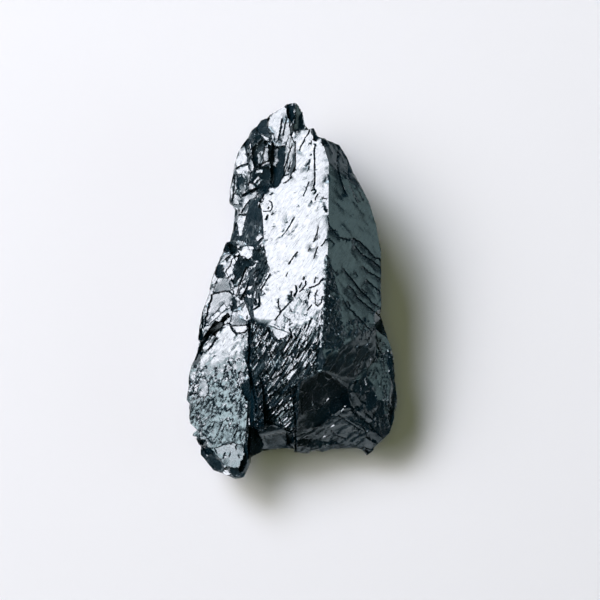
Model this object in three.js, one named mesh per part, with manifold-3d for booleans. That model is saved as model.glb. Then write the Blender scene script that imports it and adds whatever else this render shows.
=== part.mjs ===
// A nugget of vitreous shungite: one loose, broken stone about 55 mm long.
// Units are millimetres, +Z is up. The stone lies on its flattest fracture face.
// +Y runs along the stone to its narrow tip and +X points to the flank beyond the crest.
//
// The stone is built as rock breaks: blocks with a ragged plan, each one cut by flat
// fracture faces, are joined into one solid. Then the underside is split away, hollows
// are scooped out and chips are struck off the edges.

import * as THREE from 'three';
import { mergeVertices } from 'three/addons/utils/BufferGeometryUtils.js';
import Module from 'manifold-3d';

const wasm = await Module();
wasm.setup();

// Driving dimensions: the stone is brought to this size at the end.
const LENGTH = 54.8;         // along Y, from the tongue to the tip
const WIDTH = 31.0;          // along X, across the two flanks
const HEIGHT = 20.8;         // of the crest over the resting face

const MIRROR_DIP = 20;       // fall of the large bright facet, in degrees
const MIRROR_TOWARDS = 275;  // compass direction of that fall, in degrees from +Y
const WALL_TAPER = 0.8;      // size of each block's foot against its rim
const FOOT = -2;             // height of a block's foot, below the resting face
const HEART = new THREE.Vector2(0.5, -3);  // point that all walls lean in towards
const REACH = 160;           // size of a splitting tool, well past the stone
const CHIP_SIDES = 5;        // walls round a chip

// ---- Solids -------------------------------------------------------------------------

// Turns a closed three.js geometry into a solid for joining and cutting.
function solid(geometry) {
  geometry.deleteAttribute('normal');
  geometry.deleteAttribute('uv');
  const merged = mergeVertices(geometry, 1e-5);
  return new wasm.Manifold(new wasm.Mesh({
    numProp: 3,
    vertProperties: merged.attributes.position.array,
    triVerts: new Uint32Array(merged.index.array),
  }));
}

// A block with the given plan. Its plan is true from the rim up, and below the rim its
// walls lean in towards the heart of the stone.
function block(plan, rim) {
  const shape = new THREE.Shape(plan.map(([x, y]) => new THREE.Vector2(x, y)));
  const geometry = new THREE.ExtrudeGeometry(shape, { depth: 2, steps: 2, bevelEnabled: false });
  const position = geometry.attributes.position;
  const heights = [FOOT, rim, HEIGHT * 1.2];
  const point = new THREE.Vector2();
  for (let i = 0; i < position.count; i += 1) {
    const level = Math.round(position.getZ(i));
    point.set(position.getX(i), position.getY(i));
    if (level === 0) {
      point.sub(HEART).multiplyScalar(WALL_TAPER).add(HEART);
    }
    position.setXYZ(i, point.x, point.y, heights[level]);
  }
  return solid(geometry);
}

// Splits off all that lies beyond a plane, on the side that its normal points to.
function split(body, [x, y, z], normal) {
  const tool = new THREE.BoxGeometry(REACH, REACH, REACH);
  const turn = new THREE.Quaternion().setFromUnitVectors(new THREE.Vector3(0, 0, 1), normal);
  tool.translate(0, 0, REACH / 2);
  tool.applyQuaternion(turn);
  tool.translate(x, y, z);
  return body.subtract(solid(tool));
}

// The outward normal of a fracture face. A dip of 0 faces straight up, 90 is a wall and
// 180 faces straight down. The other angle is the compass direction that it faces.
function facing(dip, towards) {
  const fall = THREE.MathUtils.degToRad(dip);
  const compass = THREE.MathUtils.degToRad(towards);
  const level = Math.sin(fall);
  return new THREE.Vector3(level * Math.sin(compass), level * Math.cos(compass), Math.cos(fall));
}

// A block finished by its upper fracture faces: [point on the face, dip, towards].
function chunk({ plan, rim, faces }) {
  return faces.reduce(
    (body, [point, dip, towards]) => split(body, point, facing(dip, towards)),
    block(plan, rim),
  );
}

// ---- Upper chunks -------------------------------------------------------------------

// The main wedge: the mirror facet, the flank beyond the crest and the hackly south end.
const wedge = {
  plan: [
    [0.1, 22.8], [1.8, 22.9], [3.0, 23.3], [3.6, 22.0], [5.4, 21.3], [6.6, 20.9],
    [7.7, 19.2], [8.5, 17.3], [9.2, 15.9], [10.8, 12.9], [11.9, 9.6], [12.6, 5.7],
    [12.7, -2.7], [11.9, -6.3], [12.2, -11], [10.8, -15.4], [8.4, -16.6], [7.8, -13.8],
    [4.4, -11.2], [1.1, -12.9], [0.8, -15.1], [0.6, -20], [0.6, -23.7], [-1.8, -23.5],
    [-4.7, -24.2], [-5.6, -22.6], [-4.9, -18.4], [-5.0, -15.8], [-5.5, -13.6], [-6.0, -10.7],
    [-5.9, -8.5], [-6.0, -4.1], [-5.7, -2.7], [-5.3, -0.1], [-4.4, 0.9], [-3.3, 3.4],
    [-4.1, 4.9], [-5.0, 6.5], [-4.1, 7.6], [-4.3, 10.7], [-4.7, 12.9], [-4.3, 13.9],
    [-3.3, 14.8], [-2.3, 14.8], [-1.7, 15.5], [-0.9, 17.7], [-0.5, 19.9], [-0.4, 21.3],
  ],
  rim: 11,
  faces: [
    [[4.6, -5.6, 20.9], MIRROR_DIP, MIRROR_TOWARDS],
    [[5.1, 18.2, 20.33], 47, 66],
    [[5.05, 13, 20.47], 33, 88],
    [[4.6, 0, 20.72], 34, 92.5],
    [[8.0, -7.3, 18.2], 47, 116],
    [[-5.6, -3.9, 17.15], 31, 238],
    [[-1.0, -13.5, 16.4], 36, 208],
    [[-2.0, -20.0, 11.9], 50, 190],
  ],
};

// The heart of the stone, which all other chunks grow out of.
const core = {
  plan: [
    [-1.5, 24.5], [1.0, 25.0], [6.0, 19.5], [10.0, 12.0], [11.5, 4.0], [11.5, -4.0],
    [13.5, -12.0], [12.5, -19.5], [9.5, -22.2], [0, -22.8], [-4.5, -23.4], [-6.4, -24.6],
    [-8.4, -26.2], [-11.5, -23.8], [-13.3, -17.0], [-13.3, -10.5], [-11.8, -3.5],
    [-9.2, 5.5], [-8.8, 8.5], [-8.3, 13.0],
    [-7.2, 18.5], [-4.5, 23.5],
  ],
  rim: 6,
  faces: [
    [[0, -24.0, 6.4], 22, 180],
    [[-13.0, -8.0, 9.0], 20, 262],
    [[-4.0, 4.0, 11.0], 9, 275],
    [[4.0, 23.5, 11.5], 25, 350],
  ],
};

// The dark hollow at the foot of the crest, with a north and a west wall.
const hollowNorth = {
  plan: [[-1, -11], [4.4, -9.5], [9, -12.5], [9.5, -17.5], [6, -20], [-1, -21]],
  rim: 9,
  faces: [[[3.7, -10.9, 16.2], 41, 165]],
};
const hollowWest = {
  plan: [[-1, -13], [3.5, -13.5], [3.5, -20.5], [-1, -22.5]],
  rim: 8,
  faces: [[[0.7, -15.5, 13.4], 43, 128]],
};

// The wedge-shaped facet along the south-east rim.
const toe = {
  plan: [
    [0.2, -22.3], [0.9, -20.6], [4.0, -19.6], [7.2, -16.8], [8.4, -16.9], [10.1, -18.5],
    [11.6, -20.2], [12.9, -21.4], [12.1, -22.9], [11.3, -24.0], [9.5, -23.0], [6.2, -23.1],
    [3.0, -24.0], [0.2, -23.7],
  ],
  rim: 5,
  faces: [
    [[7.2, -17.0, 12.4], 45, 184],
    [[10.0, -19.0, 10.3], 40, 140],
  ],
};

// A small spur that sticks out below the south-east rim.
const spur = {
  plan: [[9.6, -21.0], [12.6, -21.0], [12.2, -23.0], [11.6, -24.2], [10.9, -24.3], [10.2, -23.2]],
  rim: 4,
  faces: [[[11.0, -22.5, 6.0], 38, 150], [[10.6, -23.4, 5.4], 42, 235]],
};

// The rounded lump on the east side below the flank.
const shoulder = {
  plan: [
    [12.3, -2.6], [13.0, -4.4], [13.6, -6.6], [14.9, -9.7], [15.3, -10.7], [15.4, -15.8],
    [14.8, -18.7], [14.2, -20.7], [12.1, -22.9], [9.8, -18.8], [8.0, -15.5], [8.5, -9],
    [10.0, -4.5],
  ],
  rim: 8,
  faces: [
    [[11.5, -10.0, 13.4], 33, 98],
    [[14.3, -12.0, 11.5], 60, 96],
    [[11.0, -17.0, 12.0], 38, 150],
    [[12.6, -5.0, 13.8], 30, 45],
  ],
};

// The long tongue at the south-west, lower than the main wedge.
const tongue = {
  plan: [
    [-9.4, -4.6], [-6.0, -5.0], [-5.4, -8.5], [-5.4, -14], [-5.0, -18.0], [-6.1, -20.4],
    [-6.3, -23.1], [-6.3, -25.2], [-7.2, -27.0], [-8.8, -27.6], [-11.4, -26.7], [-12.1, -25.8],
    [-14.2, -23.3], [-14.0, -22.5], [-14.4, -22.0], [-14.0, -21.2], [-14.9, -21.0],
    [-14.0, -20.2], [-14.8, -19.4], [-15.7, -18.7], [-15.5, -15.8], [-15.2, -13.6],
    [-15.0, -9.5], [-14.4, -8.4], [-13.5, -7.0], [-11.3, -5.9],
  ],
  rim: 7,
  faces: [
    [[-6.2, -5.6, 13.6], 19, 273],
    [[-8.0, -12.0, 13.05], 20, 240],
    [[-12.4, -23.0, 9.6], 48, 225],
    [[-6.8, -22.5, 11.2], 50, 104],
  ],
};

// The dark face between the tongue and the main wedge.
const riser = {
  plan: [[-7.2, -9.8], [-5.5, -10], [-4.4, -13.6], [-4.2, -19.6], [-6.1, -19.4], [-6.6, -16.5], [-7.4, -14.3]],
  rim: 8,
  faces: [[[-5.2, -15.0, 13.8], 55, 262]],
};

// The broken shelf at the west side and the steep flank above it.
const shelf = {
  plan: [
    [-12.7, -1.5], [-11.9, 1.1], [-10.8, 4.3], [-9.8, 7.1], [-9.1, 7.2], [-7.6, 7.8],
    [-4.0, 7.8], [-3.4, 3], [-4.5, -3], [-5.8, -4.9], [-9.2, -4.9], [-11.2, -4.2],
    [-13.0, -6.6], [-13.7, -7.2], [-13.7, -6.3], [-13.5, -4.1],
  ],
  rim: 8,
  faces: [
    [[-9.4, -1.5, 12.8], 21, 285],
    [[-9.0, 3.0, 12.8], 24, 318],
  ],
};
const flank = {
  plan: [[-7.8, 5.2], [-3.6, 6.4], [-3.0, 2], [-4.6, -4.6], [-6.3, -4.2], [-7.0, -1.2]],
  rim: 9,
  faces: [[[-4.5, 1.0, 16.2], 43, 264]],
};
const slope = {
  plan: [
    [-7.7, 11.8], [-8.2, 10.4], [-8.8, 8.5], [-9.1, 7.2], [-7.6, 6.2], [-4.0, 5.8],
    [-3.2, 8], [-3.2, 14], [-5.5, 14.8], [-7.8, 13.8],
  ],
  rim: 9,
  faces: [[[-4.3, 10.5, 16.3], 41, 281]],
};

// The jagged crown at the north-west, with its horn.
const crown = {
  plan: [
    [1.7, 23.9], [1.8, 21], [0.5, 16], [-2.0, 13.5], [-4.3, 13.0], [-6.2, 13.6], [-7.8, 11.8],
    [-8.1, 11.9], [-9.2, 12.9], [-9.1, 14.6], [-8.4, 18.4], [-7.9, 20.2], [-7.0, 21.6],
    [-6.2, 23.1], [-5.2, 24.0], [-4.7, 24.8], [-3.7, 25.1], [-2.4, 25.8], [-1.4, 26.4],
    [-0.8, 26.9], [0.5, 27.0], [1.3, 25.9], [1.5, 24.9],
  ],
  rim: 9,
  faces: [
    [[-6.5, 17.0, 13.8], 26, 262],
    [[-5.0, 22.0, 14.0], 46, 318],
    [[-3.0, 18.0, 15.0], 10, 250],
  ],
};
const horn = {
  plan: [
    [-3.5, 25.0], [-2.4, 25.8], [-1.4, 26.4], [-0.8, 26.9], [0.5, 27.0], [1.3, 25.9],
    [1.5, 24.9], [1.6, 23.8], [1.8, 22.3], [-0.2, 20.5], [-2.6, 20.8], [-3.6, 23.5],
  ],
  rim: 10,
  faces: [
    [[-2.0, 24.0, 17.0], 19, 281],
    [[-0.6, 24.5, 17.4], 50, 78],
    [[-2.6, 25.6, 16.6], 40, 330],
  ],
};
const band = {
  plan: [[-3.2, 21.2], [0.4, 21.4], [0.2, 17.7], [-1.2, 14.2], [-3.8, 14.2], [-3.2, 17.7]],
  rim: 10,
  faces: [[[-0.6, 18.5, 17.9], 50, 277]],
};
const splinterNorth = {
  plan: [[-6.6, 19.8], [-4.6, 21.9], [-3.1, 21.3], [-3.2, 18.7], [-5.4, 17.9]],
  rim: 11,
  faces: [
    [[-4.4, 20.2, 16.2], 17, 290],
    [[-5.6, 19.2, 15.5], 50, 250],
  ],
};
const splinterSouth = {
  plan: [[-6.0, 17.2], [-3.3, 18.2], [-3.0, 14.5], [-4.6, 13.8], [-6.6, 14.4]],
  rim: 11,
  faces: [
    [[-4.4, 16.2, 15.9], 33, 205],
    [[-5.4, 16.4, 15.5], 40, 285],
  ],
};

const shard = {
  plan: [[-9.7, 4.9], [-8.9, 5.4], [-7.5, 3.2], [-7.4, 1.4], [-8.6, 1.0], [-9.6, 2.6]],
  rim: 11,
  faces: [[[-8.6, 3.0, 13.4], 20, 282], [[-8.0, 2.0, 13.3], 38, 140]],
};
const knob = {
  plan: [[-9.6, 7.1], [-8.0, 7.4], [-5.4, 6.9], [-5.2, 5.0], [-7.4, 4.6], [-9.0, 5.6]],
  rim: 11,
  faces: [[[-7.0, 6.0, 14.9], 24, 290], [[-8.4, 6.4, 13.9], 42, 250], [[-6.2, 5.2, 14.9], 40, 170]],
};
const sliver = {
  plan: [[-6.8, 3.6], [-5.8, 3.4], [-6.9, 0.2], [-7.6, -1.0], [-8.2, -0.6], [-7.8, 1.0]],
  rim: 11,
  faces: [[[-7.0, 1.4, 14.4], 22, 268]],
};

const chunks = [
  core, wedge, hollowNorth, hollowWest, toe, spur, shoulder, tongue, riser, shelf, flank, slope, crown,
  horn, band, splinterNorth, splinterSouth, shard, knob, sliver,
];

// ---- Underside and walls ------------------------------------------------------------

// Fracture faces below the widest outline: [point on the face, dip, towards].
const lowerFaces = [
  [[11.2, -12.0, 0], 121, 97],
  [[9.0, 2.0, 0], 117, 75],
  [[5.5, 10.0, 0], 126, 52],
  [[0, 13.5, 0], 137, 2],
  [[-5.8, 9.5, 0], 123, 304],
  [[-8.6, -3.0, 0], 134, 277],
  [[-8.8, -14.0, 0], 139, 249],
  [[-6.0, -20.5, 0], 138, 205],
  [[3.0, -21.2, 0], 124, 180],
  [[11.2, -19.0, 0], 129, 140],
  [[12.5, 3.0, 12.5], 101, 80],
  [[10.6, 13.5, 13.0], 104, 58],
  [[15.3, -13.0, 7.5], 99, 92],
  [[-15.6, -13.0, 8.2], 102, 262],
  [[-10.2, -27.1, 7.2], 108, 208],
  [[-8.7, 15.0, 10.0], 101, 283],
  [[0.5, 26.8, 12.5], 108, 12],
];

// Chips struck off edges: [point on the face, dip, towards, size, turn about its normal].
const chips = [
  [[12.2, -3.6, 13.6], 62, 118, 3.4, 20],
  [[12.6, 8.4, 13.2], 70, 70, 4.2, 35],
  [[7.6, 19.9, 14.6], 66, 28, 3.6, 10],
  [[3.5, 21.9, 18.9], 58, 20, 1.5, 40],
  [[-5.1, 12.0, 16.4], 50, 250, 1.8, 15],
  [[-5.0, -0.4, 16.8], 55, 300, 1.6, 30],
  [[-6.3, -2.6, 16.0], 45, 230, 2.0, 60],
  [[15.2, -17.4, 7.6], 78, 120, 3.6, 25],
  [[-15.2, -17.2, 8.6], 70, 282, 2.4, 30],
  [[-14.2, -9.8, 9.8], 60, 325, 2.6, 12],
  [[-9.0, 14.2, 12.4], 64, 262, 2.6, 45],
  [[-6.4, 23.2, 11.6], 62, 300, 2.8, 20],
  [[1.5, 25.4, 14.0], 70, 62, 2.4, 35],
  [[4.4, -23.8, 4.6], 82, 196, 3.2, 15],
  [[-2.8, -23.8, 6.6], 76, 168, 3.0, 50],
  [[-12.9, -22.6, 8.2], 66, 238, 3.0, 5],
  [[-12.6, -1.0, 9.6], 72, 290, 3.6, 30],
  [[-10.4, 5.0, 9.8], 76, 312, 3.2, 22],
  [[-11.0, -3.0, 3.2], 122, 300, 6.0, 33],
  [[-11.5, -19.0, 4.0], 128, 268, 5.0, 12],
  [[5.5, -22.0, 2.4], 118, 162, 5.5, 40],
  [[11.8, -9.0, 4.4], 108, 112, 6.5, 18],
  [[11.2, 6.0, 5.0], 104, 66, 6.0, 50],
  [[2.5, 19.5, 6.0], 124, 24, 6.5, 27],
  [[-6.0, 17.0, 6.6], 112, 330, 5.5, 8],
];

// Strikes off a chip: a face no wider than the chip, with walls that open outwards.
function strike(body, [[x, y, z], dip, towards, size, turn]) {
  const tool = new THREE.CylinderGeometry(size * 1.2, size * 0.6, size, CHIP_SIDES);
  const up = new THREE.Vector3(0, 0, 1);
  tool.rotateX(Math.PI / 2);
  tool.translate(0, 0, size / 2);
  tool.rotateZ(THREE.MathUtils.degToRad(turn));
  tool.applyQuaternion(new THREE.Quaternion().setFromUnitVectors(up, facing(dip, towards)));
  tool.translate(x, y, z);
  return body.subtract(solid(tool));
}

let stone = chunks.map(chunk).reduce((body, next) => body.add(next));
stone = lowerFaces.reduce(
  (body, [point, dip, towards]) => split(body, point, facing(dip, towards)),
  stone,
);
stone = chips.reduce(strike, stone);
stone = split(stone, [0, 0, 0], facing(180, 0));

// ---- Mesh ---------------------------------------------------------------------------

const { vertProperties, triVerts } = stone.getMesh();
const geometry = new THREE.BufferGeometry();
geometry.setAttribute('position', new THREE.BufferAttribute(vertProperties, 3));
geometry.setIndex(new THREE.BufferAttribute(triVerts, 1));

// The origin is the middle of the stone's footprint, at the height it rests on.
geometry.computeBoundingBox();
const size = geometry.boundingBox.getSize(new THREE.Vector3());
const middle = geometry.boundingBox.getCenter(new THREE.Vector3());
geometry.translate(-middle.x, -middle.y, -geometry.boundingBox.min.z);
geometry.scale(WIDTH / size.x, LENGTH / size.y, HEIGHT / size.z);
geometry.computeVertexNormals();

const shungite = new THREE.MeshStandardMaterial({ color: 0x5b6468, roughness: 0.3, metalness: 0.85 });
const nugget = new THREE.Mesh(geometry, shungite);
nugget.name = 'nugget';

const group = new THREE.Group();
group.add(nugget);

export default group;
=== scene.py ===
import itertools
import math
from dataclasses import dataclass

import bpy
import numpy as np
from bpy.props import FloatProperty, FloatVectorProperty, IntProperty, PointerProperty
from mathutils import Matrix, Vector
from mathutils.kdtree import KDTree


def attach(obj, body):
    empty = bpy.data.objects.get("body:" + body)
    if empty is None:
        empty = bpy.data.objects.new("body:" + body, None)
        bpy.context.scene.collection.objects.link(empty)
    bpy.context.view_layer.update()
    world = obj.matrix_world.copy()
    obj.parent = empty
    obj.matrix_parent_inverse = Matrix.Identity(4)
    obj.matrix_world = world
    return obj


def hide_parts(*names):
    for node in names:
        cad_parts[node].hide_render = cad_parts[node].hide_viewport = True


bl_info = {
    "name": "Shungite Nugget",
    "version": (1, 0, 0),
    "blender": (4, 5, 0),
    "location": "3D View > Sidebar > Nugget",
    "description": "Builds a broken nugget of bright shungite and a soft studio for it",
    "category": "Object",
}

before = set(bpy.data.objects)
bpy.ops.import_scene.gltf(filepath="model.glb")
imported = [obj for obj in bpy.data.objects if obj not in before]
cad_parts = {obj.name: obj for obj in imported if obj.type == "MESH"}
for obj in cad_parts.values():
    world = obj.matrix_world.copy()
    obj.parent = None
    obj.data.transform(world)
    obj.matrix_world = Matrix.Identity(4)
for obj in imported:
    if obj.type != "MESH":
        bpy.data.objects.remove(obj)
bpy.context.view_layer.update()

MM = 0.001                    # one millimetre in scene units

# Each random draw adds a number to this one, so that patterns differ from each other but come
# out the same each time.
SEED = 20
CELL_DRAWS = 4096             # sets of random numbers that the cells of a pattern share

# A compass direction is counted from +Y towards +X, in degrees.
GRAIN = 38.0                  # compass direction that the fine grain runs in

# ---- Places on the stone, in millimetres in plan -------------------------------------

# The side of the main wedge that falls west: the mirror and the hackly end below it.
MIRROR_SIDE = [
    (3.4, 23.0), (5.2, 20.0), (5.2, 13.0), (5.0, 8.0), (4.5, 0.0), (4.1, -7.0), (3.6, -11.2),
    (0.8, -13.0), (0.5, -24.0), (-5.0, -24.4), (-5.4, -18.5), (-5.8, -13.6), (-6.3, -8.0),
    (-6.2, -3.0), (-5.2, 0.5), (-3.7, 3.5), (-5.2, 6.7), (-4.9, 13.4), (-3.4, 15.1),
    (-1.8, 15.8), (-0.6, 20.2), (0.0, 23.2),
]
FLANK_SIDE = [
    (4.6, 21.0), (5.4, 13.0), (5.2, 8.0), (4.8, 0.0), (4.4, -6.0), (8.0, -6.5), (12.0, -4.8),
    (13.2, 6.0), (11.5, 13.5), (9.0, 18.5), (7.0, 21.5),
]
TONGUE = [
    (-9.3, -4.9), (-6.0, -5.4), (-6.0, -10.5), (-6.6, -13.5), (-6.0, -19.0), (-6.4, -25.0),
    (-7.6, -27.8), (-12.0, -26.8), (-14.6, -23.0), (-15.9, -18.0), (-15.5, -9.5),
    (-13.0, -7.6),
]
CROWN = [
    (1.6, 23.4), (-0.4, 21.0), (-1.0, 18.0), (-1.9, 15.3), (-4.4, 13.8), (-7.6, 12.4),
    (-10.0, 12.8), (-9.6, 18.0), (-7.0, 24.0), (-1.5, 28.0), (1.5, 28.0),
]
SHELF = [
    (-8.8, 8.2), (-4.8, 7.4), (-4.2, 3.6), (-5.6, -0.5), (-6.4, -4.2), (-9.4, -5.0),
    (-12.6, -7.4), (-14.4, -7.4), (-13.6, -2.0), (-10.8, 6.4),
]

# Parts of those that break in their own way.
SHELF_EAST = [
    (-5.2, 7.0), (-4.0, 6.9), (-3.4, 3.9), (-4.4, 1.6), (-5.3, 0.6), (-5.8, 2.8), (-4.6, 4.8),
]
MIRROR_NORTH = [
    (3.3, 23.0), (5.2, 20.0), (5.2, 15.0), (0.5, 14.5), (-2.4, 15.1), (-1.8, 15.8), (-0.6, 20.2),
    (0.0, 23.2),
]
MIRROR_WEST = [
    (-4.9, 13.4), (-1.9, 15.2), (-1.5, 8.0), (-3.2, 2.0), (-3.4, -3.0), (-6.0, -2.5),
    (-5.2, 0.5), (-3.7, 3.5), (-5.2, 6.7),
]
LOBE = [
    (1.9, 0.8), (2.9, 0.6), (2.5, -0.8), (2.3, -3.4), (1.9, -4.4), (0.3, -4.2), (-0.4, -5.4),
    (-1.2, -6.3), (-2.0, -6.5), (-2.8, -5.9), (-2.9, -4.8), (-2.4, -4.0), (-1.4, -2.7), (0.3, -0.9),
    (0.9, 0.0),
]
# The broken foot of the mirror, full of strokes.
HACKLE = [
    (4.6, -1.6), (3.2, -3.2), (2.2, -4.0), (1.2, -4.4), (0.3, -4.4), (-0.4, -5.6), (-1.2, -6.5),
    (-2.0, -6.7), (-2.9, -6.0), (-3.1, -5.0), (-3.6, -4.5), (-5.0, -4.3), (-5.7, -3.3),
    (-6.3, -3.6), (-6.3, -8.0), (-5.8, -13.6), (-5.4, -18.5), (0.5, -20.6), (0.8, -13.0),
    (3.6, -11.2), (4.1, -7.0),
]
SLOPE = [
    (-4.4, 14.8), (-5.2, 15.0), (-7.6, 13.6), (-8.8, 10.5), (-9.2, 7.4), (-5.2, 6.8),
    (-4.0, 9.5), (-3.9, 12.8),
]
TONGUE_WEST = [
    (-15.4, -11.0), (-12.6, -11.6), (-12.2, -13.5), (-12.4, -15.4), (-13.4, -16.6), (-15.4, -17.0),
]
TONGUE_RIM = [
    (-14.8, -10.0), (-13.4, -10.4), (-13.5, -14.0), (-13.7, -17.5), (-14.2, -20.4),
    (-16.2, -20.0), (-16.2, -10.0),
]
TONGUE_FOOT = [
    (-6.0, -13.0), (-6.0, -19.0), (-6.4, -25.0), (-7.6, -27.8), (-12.0, -26.8), (-14.6, -23.0),
    (-15.9, -18.0), (-15.7, -14.0), (-12.0, -12.0), (-8.0, -11.0),
]
CREST_BAND = [
    (4.6, 5.5), (5.3, 5.6), (6.0, 3.0), (6.9, 0.0), (7.3, -4.0), (7.6, -8.0), (4.0, -8.2),
    (4.4, -3.0),
]
FLANK_NORTH = [
    (4.2, 22.6), (6.8, 21.6), (9.4, 18.0), (11.2, 13.8), (9.6, 12.6), (8.0, 14.5), (6.6, 18.0),
    (5.2, 20.2),
]
FLANK_FOOT = [(7.0, -4.0), (10.5, -3.4), (12.4, -4.6), (11.4, -7.0), (8.0, -6.8), (7.2, -7.4)]
GULLY = [
    (4.2, -8.6), (7.4, -7.6), (11.4, -7.0), (12.3, -8.0), (12.2, -10.0), (11.2, -12.2),
    (9.8, -12.6), (6.6, -12.0), (4.2, -11.0),
]
RIDGE = [(4.4, -10.9), (5.7, -11.7), (8.0, -12.4), (9.8, -12.6), (8.6, -13.7), (5.7, -12.0)]
HOLLOW = [
    (8.4, -13.4), (9.8, -12.5), (10.9, -11.8), (11.3, -12.6), (12.2, -14.4), (12.5, -16.5),
    (12.3, -18.6), (11.2, -19.0), (8.7, -16.8),
]
PIT = [
    (3.2, -11.0), (1.9, -12.2), (0.8, -13.1), (0.5, -20.5), (2.5, -20.8), (5.3, -18.8),
    (7.6, -16.7), (8.5, -13.7), (5.7, -11.9), (4.4, -10.9),
]
WEDGE = [
    (0.6, -21.2), (4.0, -19.9), (7.3, -17.0), (8.6, -17.1), (11.2, -20.0), (10.6, -24.0),
    (0.6, -24.6),
]
WEDGE_EAST = [(10.9, -19.8), (12.0, -19.8), (13.6, -21.6), (12.6, -24.0), (10.6, -24.0)]
LUMP = [
    (12.6, -6.6), (13.6, -7.0), (16.2, -10.0), (16.2, -18.0), (14.0, -21.4), (11.0, -19.0),
    (12.4, -18.6), (12.6, -16.5), (12.3, -14.4), (11.3, -12.4), (12.3, -10.0), (12.4, -8.0),
]


@dataclass
class Plates:
    """A patch broken into long small plates, each turned a little from the facet it lies on."""

    outline: list
    size: tuple               # length and width of a plate, in millimetres
    direction: float          # compass direction of the plates' length
    fill: float = 1.0         # share of the plates that are turned at all
    bright: float = 0.0       # share of those that lie level with the mirror
    turn: float = 0.1         # most that the others turn, as a slope
    rise: float = 0.05        # most that a plate stands up or sits down, in millimetres
    gather: float = 0.0       # how strongly the turned plates keep together
    lean: tuple = (0.0, 0.0)  # slope that all of them take on besides, east and north


PLATES = [
    Plates(CROWN, (1.0, 0.4), 20, fill=0.3, bright=0.3, turn=0.35, rise=0.1, gather=1),
    Plates(SHELF, (0.8, 0.4), 35, fill=0.3, bright=0.3, turn=0.35, rise=0.1, gather=1),
    Plates(SLOPE, (1.6, 0.35), 15, fill=0.5, turn=0.12, rise=0.03),
    Plates(TONGUE, (2.0, 0.5), 32, turn=0.035, rise=0.02),
    Plates(TONGUE, (0.6, 0.22), 34, fill=0.03, turn=0.4, rise=0.05, gather=2),
    Plates(TONGUE_WEST, (1.6, 0.4), 35, fill=0.75, bright=0.75, turn=0.15, rise=0.04),
    Plates(TONGUE_RIM, (0.7, 0.26), 38, fill=0.4, turn=0.35, rise=0.08),
    Plates(TONGUE_FOOT, (2.4, 0.8), 28, turn=0.035, rise=0.02, lean=(-0.005, 0.02)),
    Plates(TONGUE_FOOT, (1.0, 0.3), 30, fill=0.05, bright=0.6, turn=0.25, rise=0.04, gather=2),
    Plates(SHELF_EAST, (1.6, 0.2), 32, bright=0.15, turn=0.15, rise=0.04, lean=(0.0, 0.4)),
    Plates(MIRROR_NORTH, (2.4, 0.3), 20, fill=0.05, turn=0.1, rise=0.02),
    Plates(MIRROR_WEST, (0.6, 0.22), 30, fill=0.025, turn=0.3, rise=0.03, gather=2),
    Plates(MIRROR_SIDE, (0.7, 0.2), 33, fill=0.006, turn=0.4, rise=0.02, gather=2),
    Plates(MIRROR_SIDE, (1.8, 0.24), 33, fill=0.35, turn=0.024, rise=0.004),
    Plates(HACKLE, (1.8, 0.2), 340, fill=0.14, bright=1, rise=0.04),
    Plates(LOBE, (1.8, 0.3), 32, turn=0.02, rise=0.005, lean=(0.045, 0.02)),
    Plates(PIT, (3.0, 1.6), 20, turn=0.05, rise=0.05, lean=(0.03, -0.1)),
    Plates(FLANK_SIDE, (2.6, 0.5), 140, fill=0.5, turn=0.02, rise=0.02),
    Plates(FLANK_FOOT, (1.4, 0.3), 172, fill=0.8, turn=0.06, rise=0.02, lean=(-0.055, 0.16)),
    Plates(FLANK_NORTH, (1.6, 0.7), 150, turn=0.04, rise=0.02, lean=(0.15, 0.07)),
    Plates(CREST_BAND, (0.8, 0.36), 165, turn=0.05, rise=0.01, lean=(0.05, 0.3)),
    Plates(GULLY, (2.8, 1.0), 38, turn=0.05, rise=0.03, lean=(0.215, -0.07)),
    Plates(RIDGE, (2.0, 0.5), 118, turn=0.03, rise=0.01, lean=(0.22, 0.0)),
    Plates(HOLLOW, (2.4, 0.8), 160, turn=0.05, rise=0.03, lean=(0.0, 0.25)),
    Plates(WEDGE, (3.2, 0.4), 50, turn=0.015, rise=0.01, lean=(0.0, -0.07)),
    Plates(WEDGE_EAST, (3.0, 1.3), 128, turn=0.02, rise=0.01, lean=(0.3, 0.35)),
    Plates(LUMP, (2.4, 0.32), 168, fill=0.6, turn=0.14, rise=0.03),
]

# Planes that a small break can lie in: the dip and the compass direction of the fall.
WHITE = (20, 283)             # straight at the window
LIGHT = (19, 264)
SATIN = (20.5, 261)
PALE = (24, 286)
SILVER = (27, 286)
GREY = (30, 286)
DIM = (38, 290)
DUSK = (37, 262)
SHADE = (40, 222)
BLACK = (17, 192)             # away from every light
NIGHT = (32, 128)
SHEEN = (37, 90)              # at the dim light beyond the flank
BLUE = (44, 188)              # steep, at the dim room in the south
SOFT = (22, 272)              # just off the window

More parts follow.
